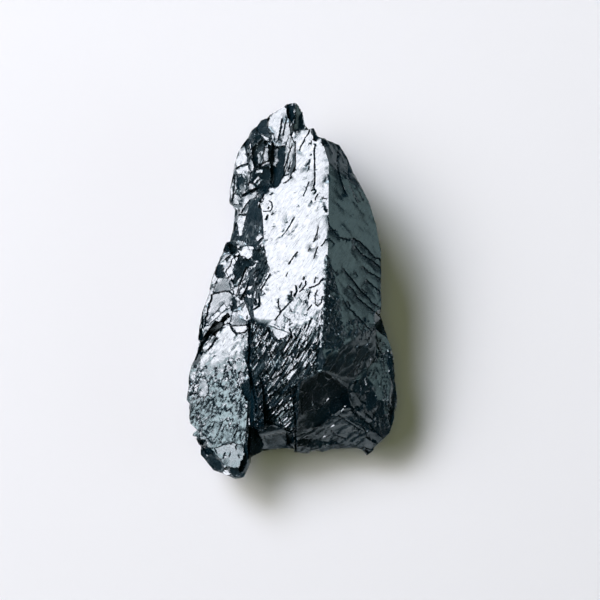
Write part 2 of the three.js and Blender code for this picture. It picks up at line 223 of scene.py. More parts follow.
# Single breaks that stand out: the plane, how far it stands up from the stone round it, and
# an outline.
BREAKS = [
    # crown
    (DIM, 0, [(-5.0, 25.3), (-4.3, 26.0), (-3.6, 26.2), (-3.3, 25.2), (-3.6, 24.0), (-3.1, 23.0),
              (-4.6, 23.2), (-5.3, 23.6)]),
    (DIM, 0, [(-7.3, 21.6), (-6.3, 23.4), (-5.4, 24.3), (-5.1, 23.4), (-5.9, 22.0), (-6.5, 21.2)]),
    (WHITE, 0.1, [(-3.3, 25.9), (-2.5, 26.6), (-1.8, 27.0), (-1.0, 26.9), (-0.7, 26.3), (-1.0, 25.5),
                  (-1.5, 25.0), (-1.9, 22.2), (-2.4, 21.6), (-2.7, 22.9), (-3.5, 23.9), (-3.4, 25.2)]),
    (DUSK, 0, [(-0.7, 27.6), (0.6, 27.7), (0.5, 25.4), (0.0, 24.6), (-0.7, 25.3)]),
    (SHEEN, 0, [(0.6, 27.4), (1.2, 27.2), (1.6, 25.8), (2.0, 23.9), (0.1, 23.4), (0.5, 25.2)]),
    (WHITE, 0.05, [(-0.15, 27.6), (0.15, 27.6), (0.1, 26.9), (-0.15, 27.0)]),
    (WHITE, 0.05, [(-0.6, 26.5), (-0.35, 26.5), (-0.4, 25.9), (-0.6, 26.0)]),
    (PALE, 0.05, [(0.2, 26.7), (0.45, 26.6), (0.4, 25.8), (0.15, 25.9)]),
    (BLACK, -0.2, [(-5.7, 22.6), (-4.8, 22.9), (-4.1, 22.3), (-4.1, 21.3), (-4.6, 20.5), (-5.0, 20.2),
                   (-5.1, 18.0), (-5.6, 17.8), (-5.8, 20.6)]),
    (WHITE, 0.15, [(-4.7, 23.0), (-4.2, 22.9), (-3.2, 22.4), (-3.1, 22.1), (-3.6, 21.7), (-4.0, 21.3),
                   (-4.0, 22.2)]),
    (PALE, 0.1, [(-4.1, 20.9), (-3.4, 20.9), (-3.4, 19.4), (-3.1, 18.7), (-4.6, 18.1), (-4.2, 19.2)]),
    (PALE, 0, [(-5.0, 20.1), (-4.5, 20.2), (-4.4, 19.2), (-4.9, 18.5)]),
    (BLACK, -0.2, [(-3.4, 21.4), (-2.4, 20.8), (-2.7, 19.2), (-3.4, 18.9), (-3.3, 20.5)]),
    (DUSK, -0.1, [(-2.0, 21.1), (-0.9, 21.2), (-1.1, 19.0), (-1.4, 16.5), (-1.9, 15.3), (-2.7, 15.4),
                  (-2.9, 17.6), (-2.1, 18.6)]),
    (SILVER, 0.5, [(-2.6, 20.9), (-2.0, 20.9), (-2.0, 19.0), (-2.3, 18.2), (-2.9, 18.4), (-2.6, 19.3)]),
    (LIGHT, 0.2, [(-0.9, 21.3), (-0.3, 22.9), (0.4, 21.4), (0.2, 19.0), (-0.5, 17.1), (-1.4, 16.6),
                  (-1.1, 19.0)]),
    (BLACK, -0.2, [(-5.6, 17.9), (-3.4, 18.3), (-3.1, 17.8), (-3.3, 15.7), (-4.2, 15.5), (-5.0, 15.1),
                   (-5.7, 15.6), (-5.9, 16.6)]),
    (WHITE, 0.1, [(-3.1, 17.2), (-2.5, 17.3), (-2.8, 15.9), (-3.2, 15.8)]),
    (WHITE, 0.1, [(-7.9, 20.8), (-6.9, 21.3), (-6.6, 20.0), (-6.5, 18.8), (-8.1, 18.2), (-8.3, 18.9)]),
    (GREY, 0, [(-6.6, 20.9), (-6.3, 20.9), (-6.2, 18.9), (-6.5, 18.8)]),
    (WHITE, 0, [(-8.2, 18.0), (-6.4, 18.6), (-6.2, 17.4), (-8.2, 17.3)]),
    (PALE, 0.05, [(-6.1, 19.4), (-5.6, 19.5), (-5.5, 18.2), (-5.9, 17.2), (-6.2, 18.6)]),
    (PALE, 0.05, [(-8.8, 17.2), (-8.4, 17.2), (-8.6, 15.0), (-8.8, 13.4), (-9.1, 13.3), (-9.0, 15.0)]),
    (PALE, 0, [(-8.2, 17.0), (-7.9, 17.1), (-8.2, 15.0), (-8.5, 13.8), (-8.6, 14.4)]),
    (DUSK, -0.1, [(-7.9, 16.8), (-7.2, 17.2), (-6.8, 16.5), (-7.3, 15.6), (-8.0, 15.0)]),
    (SILVER, 0.05, [(-7.7, 15.8), (-6.8, 15.8), (-6.7, 14.6), (-7.3, 14.3), (-7.6, 15.0)]),
    (PALE, 0, [(-8.4, 14.5), (-7.9, 14.4), (-7.4, 13.7), (-7.7, 12.9), (-8.7, 13.0)]),
    (SILVER, 0, [(-6.7, 17.8), (-6.2, 17.4), (-6.1, 16.0), (-6.6, 15.9)]),
    (PALE, 0.05, [(-6.4, 16.0), (-5.9, 15.9), (-5.3, 15.4), (-5.6, 15.0), (-6.3, 15.0)]),
    (PALE, 0.05, [(-5.3, 16.6), (-4.9, 16.9), (-4.6, 16.6), (-5.4, 15.9), (-5.6, 16.1)]),
    (PALE, 0.05, [(-4.9, 16.2), (-4.4, 16.5), (-4.6, 15.9), (-5.0, 15.7)]),
    (WHITE, 0, [(-5.2, 17.8), (-4.2, 17.8), (-4.3, 17.3), (-5.3, 17.4)]),
    # slope between crown and shelf
    (PALE, 0.1, [(-7.4, 13.8), (-6.6, 14.3), (-5.1, 14.7), (-5.0, 14.2), (-5.8, 13.6), (-6.3, 12.4),
                 (-6.7, 11.5), (-7.8, 11.4), (-7.7, 12.4)]),
    (WHITE, 0.1, [(-7.9, 11.2), (-6.6, 11.4), (-6.9, 10.0), (-7.3, 8.2), (-7.9, 8.3), (-7.8, 9.5),
                  (-8.2, 10.4)]),
    (GREY, 0, [(-8.5, 10.2), (-8.1, 10.2), (-7.9, 9.2), (-8.5, 9.1)]),
    (WHITE, 0.1, [(-5.2, 8.0), (-4.7, 8.6), (-4.4, 8.6), (-4.2, 8.0), (-4.8, 7.5), (-5.1, 7.4)]),
    # shelf
    (BLACK, -0.1, [(-10.0, 7.3), (-9.2, 7.3), (-8.0, 6.7), (-7.9, 6.1), (-9.6, 5.9), (-10.1, 6.1)]),
    (WHITE, 0.2, [(-7.9, 6.3), (-7.4, 6.2), (-7.1, 6.8), (-5.7, 6.8), (-5.3, 6.3), (-5.6, 5.4),
                  (-6.4, 4.9), (-6.9, 5.3), (-7.5, 5.4)]),
    (PALE, 0.05, [(-9.8, 5.7), (-8.3, 5.9), (-9.5, 5.1), (-10.4, 4.5), (-10.6, 4.6)]),
    (BLACK, -0.3, [(-8.0, 4.9), (-7.2, 5.0), (-6.3, 4.8), (-5.8, 4.1), (-6.6, 3.5), (-7.2, 2.3),
                   (-8.3, 2.4), (-8.6, 3.0), (-8.3, 4.0)]),
    (WHITE, 0.1, [(-8.7, 5.0), (-7.6, 5.6), (-7.9, 4.9), (-8.4, 4.0), (-8.6, 2.8), (-9.5, 2.2),
                  (-9.9, 3.0), (-9.1, 3.9)]),
    (BLACK, -0.3, [(-5.6, 6.3), (-4.6, 6.1), (-4.2, 5.3), (-4.5, 4.6), (-5.8, 4.7)]),
    (WHITE, 0.1, [(-6.4, 3.6), (-6.6, 3.6), (-7.4, 2.0), (-8.0, 1.0), (-8.8, 0.5), (-8.1, -0.5),
                  (-7.8, -0.2), (-7.2, 1.5)]),
    (PALE, 0.05, [(-8.8, 2.1), (-8.2, 1.0), (-8.8, 0.8), (-9.1, 1.6)]),
    (WHITE, 0.05, [(-5.7, 4.7), (-4.9, 4.7), (-4.9, 4.4), (-5.7, 4.5)]),
    (WHITE, 0, [(-6.1, 4.0), (-5.9, 3.4), (-6.1, 3.2), (-6.2, 3.8)]),
    (PALE, 0, [(-5.4, 0.4), (-5.1, 0.1), (-5.2, -0.7), (-5.6, -0.8), (-5.6, -0.2)]),
    (PALE, 0, [(-5.5, -1.0), (-5.1, -1.1), (-5.2, -1.7), (-5.6, -1.4)]),
    (DUSK, -0.1, [(-10.9, 4.4), (-10.0, 3.9), (-9.9, 2.4), (-10.8, 2.2), (-11.3, 2.8), (-11.3, 3.8)]),
    (SILVER, 0, [(-11.2, 1.3), (-10.4, 2.2), (-9.6, 2.2), (-9.2, 1.6), (-8.9, 0.4), (-10.0, 0.3),
                 (-11.5, 0.1)]),
    (PALE, 0.1, [(-11.8, -0.3), (-10.9, 0.0), (-10.0, 0.3), (-9.1, 0.1), (-8.6, -0.5), (-8.7, -1.3),
                 (-9.0, -2.2), (-10.2, -2.8), (-11.4, -3.9), (-12.8, -4.9), (-12.5, -3.0),
                 (-12.0, -1.2)]),
    (WHITE, 0.12, [(-9.9, -1.5), (-9.5, -2.2), (-12.0, -4.5), (-12.8, -5.0), (-12.4, -4.0)]),
    (BLACK, -0.2, [(-8.9, -0.8), (-8.2, -0.6), (-8.0, -2.2), (-8.9, -2.5), (-8.6, -1.6)]),
    (SILVER, 0.1, [(-8.7, -2.6), (-8.0, -2.6), (-7.6, -3.6), (-6.8, -4.0), (-6.4, -4.7), (-8.7, -4.9),
                   (-9.3, -4.4), (-8.9, -4.0)]),
    (WHITE, 0.05, [(-8.8, -4.8), (-6.5, -4.6), (-6.6, -5.3), (-7.2, -5.7), (-8.3, -5.7)]),
    (BLACK, -0.4, [(-9.4, -2.9), (-9.0, -3.4), (-9.8, -4.1), (-10.2, -5.0), (-11.0, -5.6),
                   (-11.2, -6.3), (-12.0, -5.9), (-12.2, -5.3), (-11.0, -4.6), (-10.2, -3.7)]),
    (GREY, 0, [(-13.8, -5.3), (-13.2, -5.2), (-13.0, -6.6), (-13.5, -8.0), (-14.6, -9.4),
               (-14.2, -7.6), (-13.9, -6.6)]),
    (SILVER, 0, [(-11.4, -6.1), (-11.1, -6.4), (-11.9, -7.6), (-12.9, -8.9), (-13.1, -8.3),
                 (-12.2, -7.0)]),
    # tongue
    (LIGHT, 0.05, [(-13.6, -12.4), (-12.8, -12.2), (-12.3, -13.0), (-12.2, -14.6), (-12.6, -15.2),
                   (-13.5, -15.2), (-13.8, -14.8), (-13.3, -13.9)]),
    (WHITE, 0.1, [(-9.6, -18.5), (-9.3, -17.9), (-9.0, -18.5), (-9.4, -18.8)]),
    (WHITE, 0.05, [(-7.0, -16.0), (-6.6, -16.2), (-6.5, -16.9), (-6.8, -16.6)]),
    (PALE, 0.05, [(-6.6, -10.6), (-6.4, -10.6), (-6.1, -11.6), (-6.3, -12.1), (-6.7, -11.6)]),
    (WHITE, 0.05, [(-6.5, -17.6), (-6.3, -17.7), (-6.1, -19.2), (-6.4, -19.2)]),
    (SILVER, 0.05, [(-7.6, -11.4), (-7.0, -11.8), (-7.1, -12.9), (-7.7, -13.8), (-7.9, -13.0)]),
    (SHADE, 0, [(-7.0, -8.6), (-6.3, -7.8), (-6.2, -10.4), (-6.6, -10.3)]),
    (SHADE, 0, [(-7.1, -12.9), (-6.2, -12.4), (-6.0, -15.8), (-6.6, -15.6), (-7.2, -14.6),
                (-7.4, -13.6)]),
    (SHADE, 0, [(-6.9, -21.6), (-6.2, -20.6), (-6.2, -23.6), (-7.2, -26.0), (-8.0, -26.6),
                (-7.7, -25.2), (-7.2, -23.6)]),
    (SATIN, 0.05, [(-13.6, -21.0), (-12.9, -21.0), (-11.6, -22.1), (-11.8, -22.8), (-12.6, -22.7),
                   (-13.7, -22.3)]),
    (SHADE, 0, [(-13.9, -22.9), (-12.2, -22.8), (-11.5, -23.3), (-11.2, -24.2), (-10.4, -25.0),
                (-10.2, -25.7), (-10.4, -26.1), (-11.5, -26.3), (-13.0, -24.8), (-14.0, -23.6)]),
    (PALE, 0.05, [(-12.8, -23.4), (-12.5, -23.3), (-12.3, -24.0), (-12.5, -24.3)]),
    (SATIN, 0.05, [(-11.4, -22.8), (-10.0, -22.2), (-8.7, -21.9), (-7.2, -22.3), (-6.9, -23.4),
                   (-7.8, -25.6), (-9.6, -25.5), (-10.1, -26.0), (-10.2, -24.9), (-10.8, -24.2)]),
    (WHITE, 0.05, [(-10.3, -26.3), (-9.9, -25.9), (-9.2, -25.9), (-8.9, -26.4), (-9.2, -26.8),
                   (-10.0, -26.8)]),
    (BLACK, -0.1, [(-9.2, -25.5), (-7.9, -25.7), (-7.6, -26.5), (-8.5, -27.2), (-8.9, -26.9),
                   (-9.0, -26.2)]),
    # mirror
    (BLACK, -0.1, [(2.7, 23.8), (3.6, 23.5), (3.8, 22.2), (3.4, 21.7), (3.0, 21.9), (3.1, 23.0)]),
    (BLACK, -0.1, [(-0.6, -0.3), (-0.1, -0.2), (0.1, -0.9), (-0.3, -1.2), (-0.7, -0.7)]),
    (BLACK, -0.1, [(4.5, 12.9), (4.8, 12.3), (5.1, 11.4), (4.7, 11.7), (4.5, 12.3)]),
    (WHITE, 0, [(-5.0, 12.8), (-4.3, 14.0), (-4.0, 14.3), (-4.3, 13.2), (-4.9, 12.5)]),
    (SOFT, 0.12, [(-2.9, -4.8), (-1.4, -5.3), (-0.3, -5.8), (-1.1, -6.4), (-2.0, -6.8), (-2.7, -6.3),
                  (-3.0, -5.4)]),
    # flank and south end
    (NIGHT, -0.1, [(4.1, 22.3), (5.0, 22.1), (5.2, 20.8), (4.3, 21.2)]),
    (BLUE, 0, [(-4.2, -20.9), (-1.9, -20.5), (0.1, -20.5), (0.3, -24.0), (-3.4, -24.0)]),
    (SHADE, 0, [(-5.7, -18.7), (-4.0, -18.9), (-3.0, -19.3), (-4.9, -20.3), (-5.8, -19.6)]),
    (NIGHT, 0, [(-6.3, -19.6), (-5.0, -20.4), (-4.3, -22.0), (-4.6, -23.9), (-6.4, -24.2),
                (-6.5, -22.0)]),
    (NIGHT, 0, [(10.6, -14.4), (11.8, -14.0), (12.4, -15.4), (12.2, -16.8), (11.0, -17.3)]),
    (NIGHT, 0, [(14.2, -8.3), (15.8, -10.8), (16.0, -15.5), (15.4, -18.6), (14.4, -20.4),
                (14.3, -17.5), (14.7, -14.0), (14.0, -10.5)]),
]

# Streaks of small tilted pieces: the plane, half the width and the route.
STREAKS = [
    (BLACK, 0.12, [(-3.4, 25.9), (-2.4, 26.6), (-1.2, 27.15)]),
    (BLACK, 0.12, [(-2.9, 22.9), (-3.3, 22.0), (-4.0, 21.0)]),
    (GREY, 0.1, [(-5.3, 22.3), (-5.0, 21.4), (-5.2, 20.6)]),
    (WHITE, 0.12, [(0.45, 25.6), (0.1, 24.5), (-0.4, 23.9)]),
    (WHITE, 0.12, [(-1.1, 24.9), (-1.4, 23.4), (-1.6, 21.9)]),
    (WHITE, 0.1, [(-0.6, 23.6), (-1.0, 22.5), (-1.6, 21.3)]),
    (WHITE, 0.1, [(-5.9, 21.9), (-5.85, 20.8), (-6.0, 19.7)]),
    (PALE, 0.14, [(-3.3, 3.6), (-4.2, 2.0), (-5.0, 0.7)]),
    (PALE, 0.12, [(-6.3, -20.0), (-6.6, -21.0), (-6.7, -22.0)]),
    (BLACK, 0.12, [(-11.1, -10.9), (-11.2, -12.0)]),
    (BLACK, 0.12, [(-9.7, -10.7), (-10.0, -12.4)]),
    (BLACK, 0.12, [(-9.3, -10.0), (-8.9, -10.6)]),
    (BLACK, 0.12, [(-9.5, -11.5), (-9.3, -12.6)]),
    (BLACK, 0.14, [(-8.8, -11.2), (-8.6, -12.2), (-8.9, -13.4)]),
    (BLACK, 0.14, [(-8.3, -11.3), (-8.2, -12.6)]),
    (BLACK, 0.12, [(-8.6, -13.2), (-8.9, -14.6)]),
    (BLACK, 0.16, [(-10.6, -13.3), (-10.0, -13.9)]),
    (BLACK, 0.14, [(-8.2, -13.6), (-8.6, -15.2)]),
    (BLACK, 0.16, [(-12.3, -15.6), (-11.6, -15.7), (-11.4, -16.4)]),
    (BLACK, 0.12, [(-12.4, -13.1), (-12.2, -13.6)]),
    (BLACK, 0.12, [(-10.6, -14.8), (-10.2, -15.2)]),
    (BLACK, 0.12, [(-9.9, -16.8), (-9.6, -17.2), (-9.0, -16.9), (-8.9, -17.5)]),
    (BLACK, 0.2, [(-7.4, -15.9), (-7.5, -17.0), (-7.7, -18.2)]),
    (BLACK, 0.14, [(-8.0, -16.0), (-8.2, -17.2)]),
    (BLACK, 0.1, [(-7.3, -12.2), (-7.7, -13.4), (-7.6, -13.9)]),
    (GREY, 0.16, [(-13.9, -17.8), (-13.3, -19.6), (-13.5, -20.8)]),
    (SILVER, 0.1, [(-0.9, -21.0), (-0.4, -22.6)]),
    (WHITE, 0.16, [(7.1, -17.2), (7.7, -16.6)]),
    (WHITE, 0.14, [(5.7, -19.7), (6.1, -19.4)]),
    (WHITE, 0.13, [(4.8, -15.9), (5.3, -15.4)]),
    (PALE, 0.13, [(4.5, -21.3), (4.9, -21.1)]),
    (WHITE, 0.13, [(9.2, -11.9), (9.5, -11.2)]),
    (WHITE, 0.1, [(9.8, -10.6), (10.0, -10.2)]),
    (PALE, 0.1, [(11.3, -9.8), (11.5, -9.3)]),
    (SILVER, 0.1, [(12.0, -9.7), (12.3, -9.4)]),
    (GREY, 0.1, [(12.3, -7.4), (13.0, -8.9), (13.2, -9.8)]),
    (WHITE, 0.1, [(-5.4, -15.9), (-5.3, -15.5)]),
    (SHEEN, 0.3, [(12.4, -7.2), (13.1, -8.6), (13.4, -10.4), (13.6, -12.4), (13.6, -15.0),
                  (13.8, -17.6)]),
]

# Step lines across the flank: the stone drops by that much on the lower side of each one.
FLANK_STEPS = [
    (0.1, [(5.1, 11.2), (5.3, 9.6), (6.8, 7.9), (8.0, 7.65), (8.6, 7.6)]),
    (0.18, [(8.4, 7.6), (8.9, 7.8), (10.0, 7.1), (11.2, 5.9), (12.0, 5.1), (13.0, 4.8)]),
    (0.16, [(8.9, 6.9), (9.5, 6.2), (10.2, 5.5), (11.4, 4.8), (12.9, 3.6)]),
    (0.12, [(10.1, 4.0), (11.0, 3.0), (12.9, 2.0)]),
    (0.16, [(10.6, 2.0), (11.4, 1.3), (13.0, 0.0)]),
    (0.2, [(7.2, 3.7), (8.0, 2.6), (8.9, 1.7), (9.5, 0.7), (10.8, -0.5), (11.4, -1.3), (13.0, -2.3)]),
    (0.16, [(8.0, 1.3), (9.1, 0.0), (9.6, -0.9), (10.9, -1.9), (13.0, -3.5)]),
    (0.08, [(10.0, 0.6), (10.9, -0.1)]),
    (0.14, [(7.2, -0.9), (7.9, -1.9), (9.0, -3.0), (9.9, -3.9), (11.2, -5.2)]),
    (0.08, [(8.0, -1.2), (8.4, -2.0)]),
    (0.1, [(5.2, 7.9), (6.2, 6.9)]),
    (0.08, [(5.1, 8.9), (5.8, 8.8), (6.4, 9.1)]),
    (0.24, [(6.4, 18.5), (6.9, 16.5), (7.4, 15.0), (8.0, 13.8)]),
    (0.16, [(6.5, 21.6), (6.6, 20.0), (6.4, 18.5)]),
    (0.1, [(8.1, 19.6), (8.1, 16.2)]),
    (0.08, [(5.1, 3.9), (5.9, 3.2), (6.8, 2.5)]),
    (0.07, [(9.1, 3.0), (9.5, 2.4)]),
]

# Cracks: half the width at the lips and the route.
CRACKS = [
    # crown, slope and shelf
    (0.16, [(-1.45, 25.1), (-1.55, 24.0), (-1.9, 22.0)]),
    (0.12, [(-0.7, 25.4), (-1.1, 23.7), (-1.25, 22.6)]),
    (0.13, [(0.0, 21.2), (-0.45, 20.0), (-0.9, 18.4), (-1.5, 16.2)]),
    (0.12, [(-0.2, 18.9), (-0.6, 17.4)]),
    (0.12, [(-8.2, 18.1), (-7.2, 18.6), (-6.3, 18.8)]),
    (0.12, [(-8.3, 17.2), (-8.5, 15.0), (-8.7, 13.3)]),
    (0.2, [(-7.4, 14.0), (-6.8, 14.4), (-5.9, 14.8), (-5.0, 15.1), (-4.0, 15.5)]),
    (0.14, [(-6.0, 13.6), (-6.6, 12.9), (-7.4, 11.6)]),
    (0.14, [(-4.2, 8.0), (-4.8, 7.5)]),
    (0.14, [(-3.1, 2.8), (-4.0, 1.2), (-4.6, 0.3)]),
    (0.18, [(-4.8, 0.1), (-4.7, -0.9), (-4.7, -1.9), (-5.6, -2.4)]),
    (0.1, [(-11.6, -0.1), (-10.6, 0.2), (-9.2, 0.3), (-8.5, -0.3)]),
    (0.14, [(-9.5, -4.3), (-9.0, -4.6), (-8.7, -5.3), (-8.3, -5.8), (-7.6, -5.9), (-6.9, -5.7),
            (-6.4, -5.2)]),
    (0.3, [(-11.9, -5.8), (-13.0, -7.3), (-13.9, -9.0), (-14.3, -10.0)]),
    (0.18, [(-11.0, -6.5), (-11.8, -7.7), (-12.4, -8.4)]),
    (0.2, [(-13.1, -2.4), (-13.1, -5.2)]),
    # tongue
    (0.3, [(-6.2, -3.8), (-6.2, -8.4), (-6.3, -10.3), (-5.8, -13.5), (-5.3, -15.7), (-5.2, -18.0)]),
    (0.2, [(-5.2, -18.0), (-4.6, -18.6), (-3.1, -18.8), (-1.6, -19.6), (0.1, -20.4)]),
    (0.16, [(-7.9, -19.2), (-8.1, -20.2), (-8.6, -21.2)]),
    (0.08, [(-10.1, -18.8), (-10.8, -20.3)]),
    (0.12, [(-9.8, -23.4), (-10.2, -24.3)]),
    (0.09, [(-9.0, -23.3), (-9.3, -24.0)]),
    (0.09, [(-8.3, -22.3), (-8.2, -23.0)]),
    (0.09, [(-8.0, -23.6), (-7.7, -24.2)]),
    (0.1, [(-10.7, -21.6), (-10.3, -22.1)]),
    (0.1, [(-9.1, -22.2), (-8.7, -21.7), (-8.0, -22.3)]),
    (0.08, [(-11.4, -18.9), (-11.9, -20.0)]),
    (0.12, [(-13.6, -15.2), (-14.0, -14.6), (-14.9, -14.9)]),
    # mirror
    (0.12, [(2.6, 23.4), (2.3, 22.7), (1.9, 22.2), (1.4, 21.2), (1.0, 20.3)]),
    (0.12, [(2.8, 21.8), (2.6, 21.2)]),
    (0.14, [(3.35, 21.4), (3.2, 20.5), (3.25, 17.5), (3.2, 15.0), (3.4, 14.5), (3.1, 14.0)]),
    (0.12, [(3.2, 14.9), (2.7, 14.6)]),
    (0.1, [(3.7, 14.2), (3.3, 13.2)]),
    (0.08, [(2.5, 16.0), (1.6, 13.8)]),
    (0.1, [(2.5, 18.1), (2.2, 17.4)]),
    (0.11, [(0.5, 17.8), (0.25, 17.3)]),
    (0.13, [(0.0, 16.7), (-0.6, 16.1), (-1.2, 15.7)]),
    (0.1, [(4.3, 13.45), (5.0, 13.5)]),
    (0.1, [(-2.7, 14.4), (-3.2, 14.1)]),
    (0.1, [(-3.4, 13.3), (-2.9, 13.0), (-2.75, 12.5), (-3.0, 11.9), (-3.7, 11.7), (-4.2, 11.8)]),
    (0.12, [(-3.3, 12.4), (-3.5, 12.1)]),
    (0.16, [(-3.4, 11.3), (-3.8, 10.5)]),
    (0.1, [(-2.7, 11.5), (-2.9, 11.2)]),
    (0.1, [(0.3, 10.9), (-0.1, 10.0), (-0.6, 9.2), (-1.5, 8.1)]),
    (0.1, [(3.8, 9.5), (3.5, 8.4), (3.1, 7.2)]),
    (0.12, [(3.7, 8.0), (3.1, 7.3)]),
    (0.12, [(4.9, 7.7), (4.5, 7.0), (4.2, 6.7)]),
    (0.12, [(3.7, 6.6), (3.4, 5.7), (3.1, 4.9)]),
    (0.1, [(2.6, 6.4), (2.3, 6.0)]),
    (0.14, [(0.8, 5.9), (0.3, 5.4), (0.0, 4.9), (-0.5, 4.1)]),
    (0.08, [(-0.6, 3.0), (-0.9, 2.3)]),
    (0.14, [(1.75, 2.3), (1.6, 1.8)]),
    (0.12, [(2.0, 1.8), (1.9, 1.0), (1.0, 0.1)]),
    (0.1, [(1.4, 1.5), (1.1, 0.7)]),
    (0.18, [(0.5, 1.1), (0.7, 0.3), (0.3, -0.6)]),
    (0.16, [(0.0, 0.3), (-0.1, -0.5)]),
    (0.1, [(0.1, -1.0), (-1.0, -2.0), (-1.6, -2.8), (-2.4, -4.0)]),
    (0.14, [(-2.0, -1.0), (-1.9, -2.0), (-1.6, -2.7), (-2.4, -3.9)]),
    (0.13, [(4.5, 2.2), (3.9, 1.4), (3.4, 1.0), (2.4, 0.7)]),
    (0.12, [(2.6, 0.4), (2.3, -0.8)]),
    (0.1, [(3.4, 2.4), (3.2, 1.4)]),
    (0.1, [(3.6, 0.4), (3.3, -0.4), (3.35, -1.5), (3.7, -1.9), (4.2, -1.3), (4.4, -0.4)]),
    (0.09, [(2.8, -1.6), (2.2, -2.6)]),
    (0.14, [(2.9, -3.5), (2.4, -4.7), (2.0, -5.5)]),
    (0.16, [(-0.3, -5.1), (-0.1, -6.0), (0.0, -6.8)]),
    (0.12, [(1.3, -5.0), (1.0, -5.9), (0.6, -6.5), (0.3, -5.7)]),
    # south end
    (0.24, [(0.5, -17.2), (0.5, -20.8), (0.5, -23.9)]),
    (0.09, [(0.8, -20.9), (2.4, -20.5), (4.2, -19.5), (6.7, -17.8)]),
    (0.14, [(6.6, -17.7), (8.2, -18.9), (10.2, -20.2)]),
    (0.1, [(8.6, -18.6), (10.8, -19.9)]),
    (0.1, [(5.6, -20.1), (6.6, -21.0), (8.0, -21.4)]),
    (0.16, [(0.9, -13.2), (0.2, -14.6), (0.2, -17.2)]),
    (0.1, [(3.2, -17.4), (4.2, -16.6), (5.0, -15.6)]),
    (0.18, [(8.4, -16.9), (10.0, -18.3), (11.5, -19.4), (12.5, -20.6)]),
    (0.08, [(12.2, -18.5), (12.7, -19.8), (13.3, -21.0)]),
    (0.08, [(13.2, -18.0), (13.7, -19.4), (14.0, -20.6)]),
]

# A crack's depth and half its real width, as shares of the half width in the list of cracks.
CRACK_DEPTH = 2.4
CRACK_WIDTH = 0.75
CRACK_LEAST = 0.06            # least half width, in millimetres
CRACK_TAPER = 0.06            # share of its length over which a crack closes at each end

STEP_HEAL = 1.1               # a step heals over about this many millimetres below its line
STEP_FURROW = 0.1             # the line itself is cut as deep again as its drop and this much more
STEP_THROUGH = 11.2           # a step that reaches this far east doesn't fade at its end

# The strokes at the foot of the mirror.
STROKE = (2.8, 0.25)          # their length and width, in millimetres
STROKE_RISE = 0.12            # most that one stands above another, in millimetres
STROKE_LIFT = 0.4             # most that the end of one moves up or down, in millimetres
STROKE_SLANT = 0.45           # how far they lean east for each millimetre north
STROKE_BEND = (-3.0, 0.36, 0.018)   # where they bend, their lean there and how fast it grows
BRIGHT_TURN = 0.1             # how much the bright strokes differ from each other, as a slope
SHADED_TURN = 0.26            # and the shaded ones
HACKLE_SHADE = (29, 238)      # the plane of the shaded ones
START_LINE = (-6.0, 1.0, 0.75)      # where they begin: level as far as a place east, then climbing
START_RAGGED = (2.0, 1.8)     # how far that line strays, and over what length

# The bend across the tongue, where its foot begins to fall south.
TONGUE_BEND = [(-15.6, -12.7), (-5.6, -11.3)]
TONGUE_ROUND = 3.2            # half the width of its rounding, in millimetres
TONGUE_TURN = 0.2             # how much the slope changes over the bend

# The plates of each patch.
PATCH_RIM = 0.3               # width of the patch's faded rim, in millimetres
MOST_LIFT = 0.45              # most that the end of a plate moves up or down, in millimetres
LEAST_TURN = 0.3              # least share of its patch's turn that a plate takes
LEVEL_TURN = 0.05             # how much the level ones differ from each other, as a slope
GATHER = (3.0, 2.6)           # how strongly plates keep together, and over what length

# Planes open out towards the stone's ends by one in slope over this many millimetres.
FAN = 570.0

# Plates of the sides and the underside: length and width, direction, most that they tip,
# most that they stand out, and the share of them that do.
WALL_PLATES = [
    ((5.0, 2.2), 70, 0.2, 0.12, 0.8),
    ((1.6, 0.6), 80, 0.3, 0.06, 0.6),
]

# The fine roughness, in millimetres: its depth on the top, how much more there is of it on the
# sides, and its width. The sides also have furrows, which run level.
ROUGH_TOP = 0.012
ROUGH_SIDE = 0.04
ROUGH_WIDTH = 1.4
FURROW_DEPTH = 0.12
FURROW_WIDTH = (3.2, 3.2, 0.9)

# How much of the fine roughness stays in the smoother patches.
QUIET = [
    (MIRROR_SIDE, 0.22), (LOBE, 0.4), (TONGUE_FOOT, 0.5), (FLANK_SIDE, 0.4), (PIT, 0.5),
    (WEDGE, 0.3),
]

STANDING = 0.4                # lower than this is the resting face, in millimetres

# How far up faces look, as the height of their unit normal.
UPPER_FACE = 0.2              # faces that look up more than this get a fine mesh
STEEP_FACE = 0.25             # those that do so less than this are sides
UNDER_FACE = -0.3             # and those below this are the underside
TOP_FADE = (0.3, 0.55)        # the breaks of the top fade in between these
SIDE_FADE = (0.4, 0.0)        # and the roughness of the sides between these

# ---- Places in the studio ------------------------------------------------------------

# Each light: the compass direction that it stands in, how many degrees from straight up, its
# distance and width in metres, and its colour.
LIGHTS = {
    "window": (278, 41, 1.0, 0.33, (1.0, 0.81, 0.84)),
    "fill": (300, 41, 1.0, 0.5, (1.0, 0.95, 0.88)),
    "key": (322, 41, 1.0, 0.425, (0.865, 0.89, 1.0)),
    "sky": (291, 41, 1.05, 0.935, (0.97, 0.95, 1.0)),
    "side": (92, 63, 0.8, 0.37, (0.86, 1.0, 0.98)),
    "overhead": (0, 1, 0.8, 0.3, (1.0, 1.0, 0.3)),
    "card": (240, 40, 1.0, 0.36, (0.94, 0.97, 1.0)),
}
SHINE_ONLY = ("window", "card")     # lights that show only in the stone's shine
FLOOR_ONLY = ("fill", "overhead")   # lights that don't show in it
AIM = (0, 0, 0.01)                  # where the lights point, in metres
FLOOR_HALF = 0.7                    # half the floor's width, in metres
CAMERA_PLACE = (1.15, -1.0)         # what the camera stands over, in millimetres

# ---- Patterns over the stone ---------------------------------------------------------

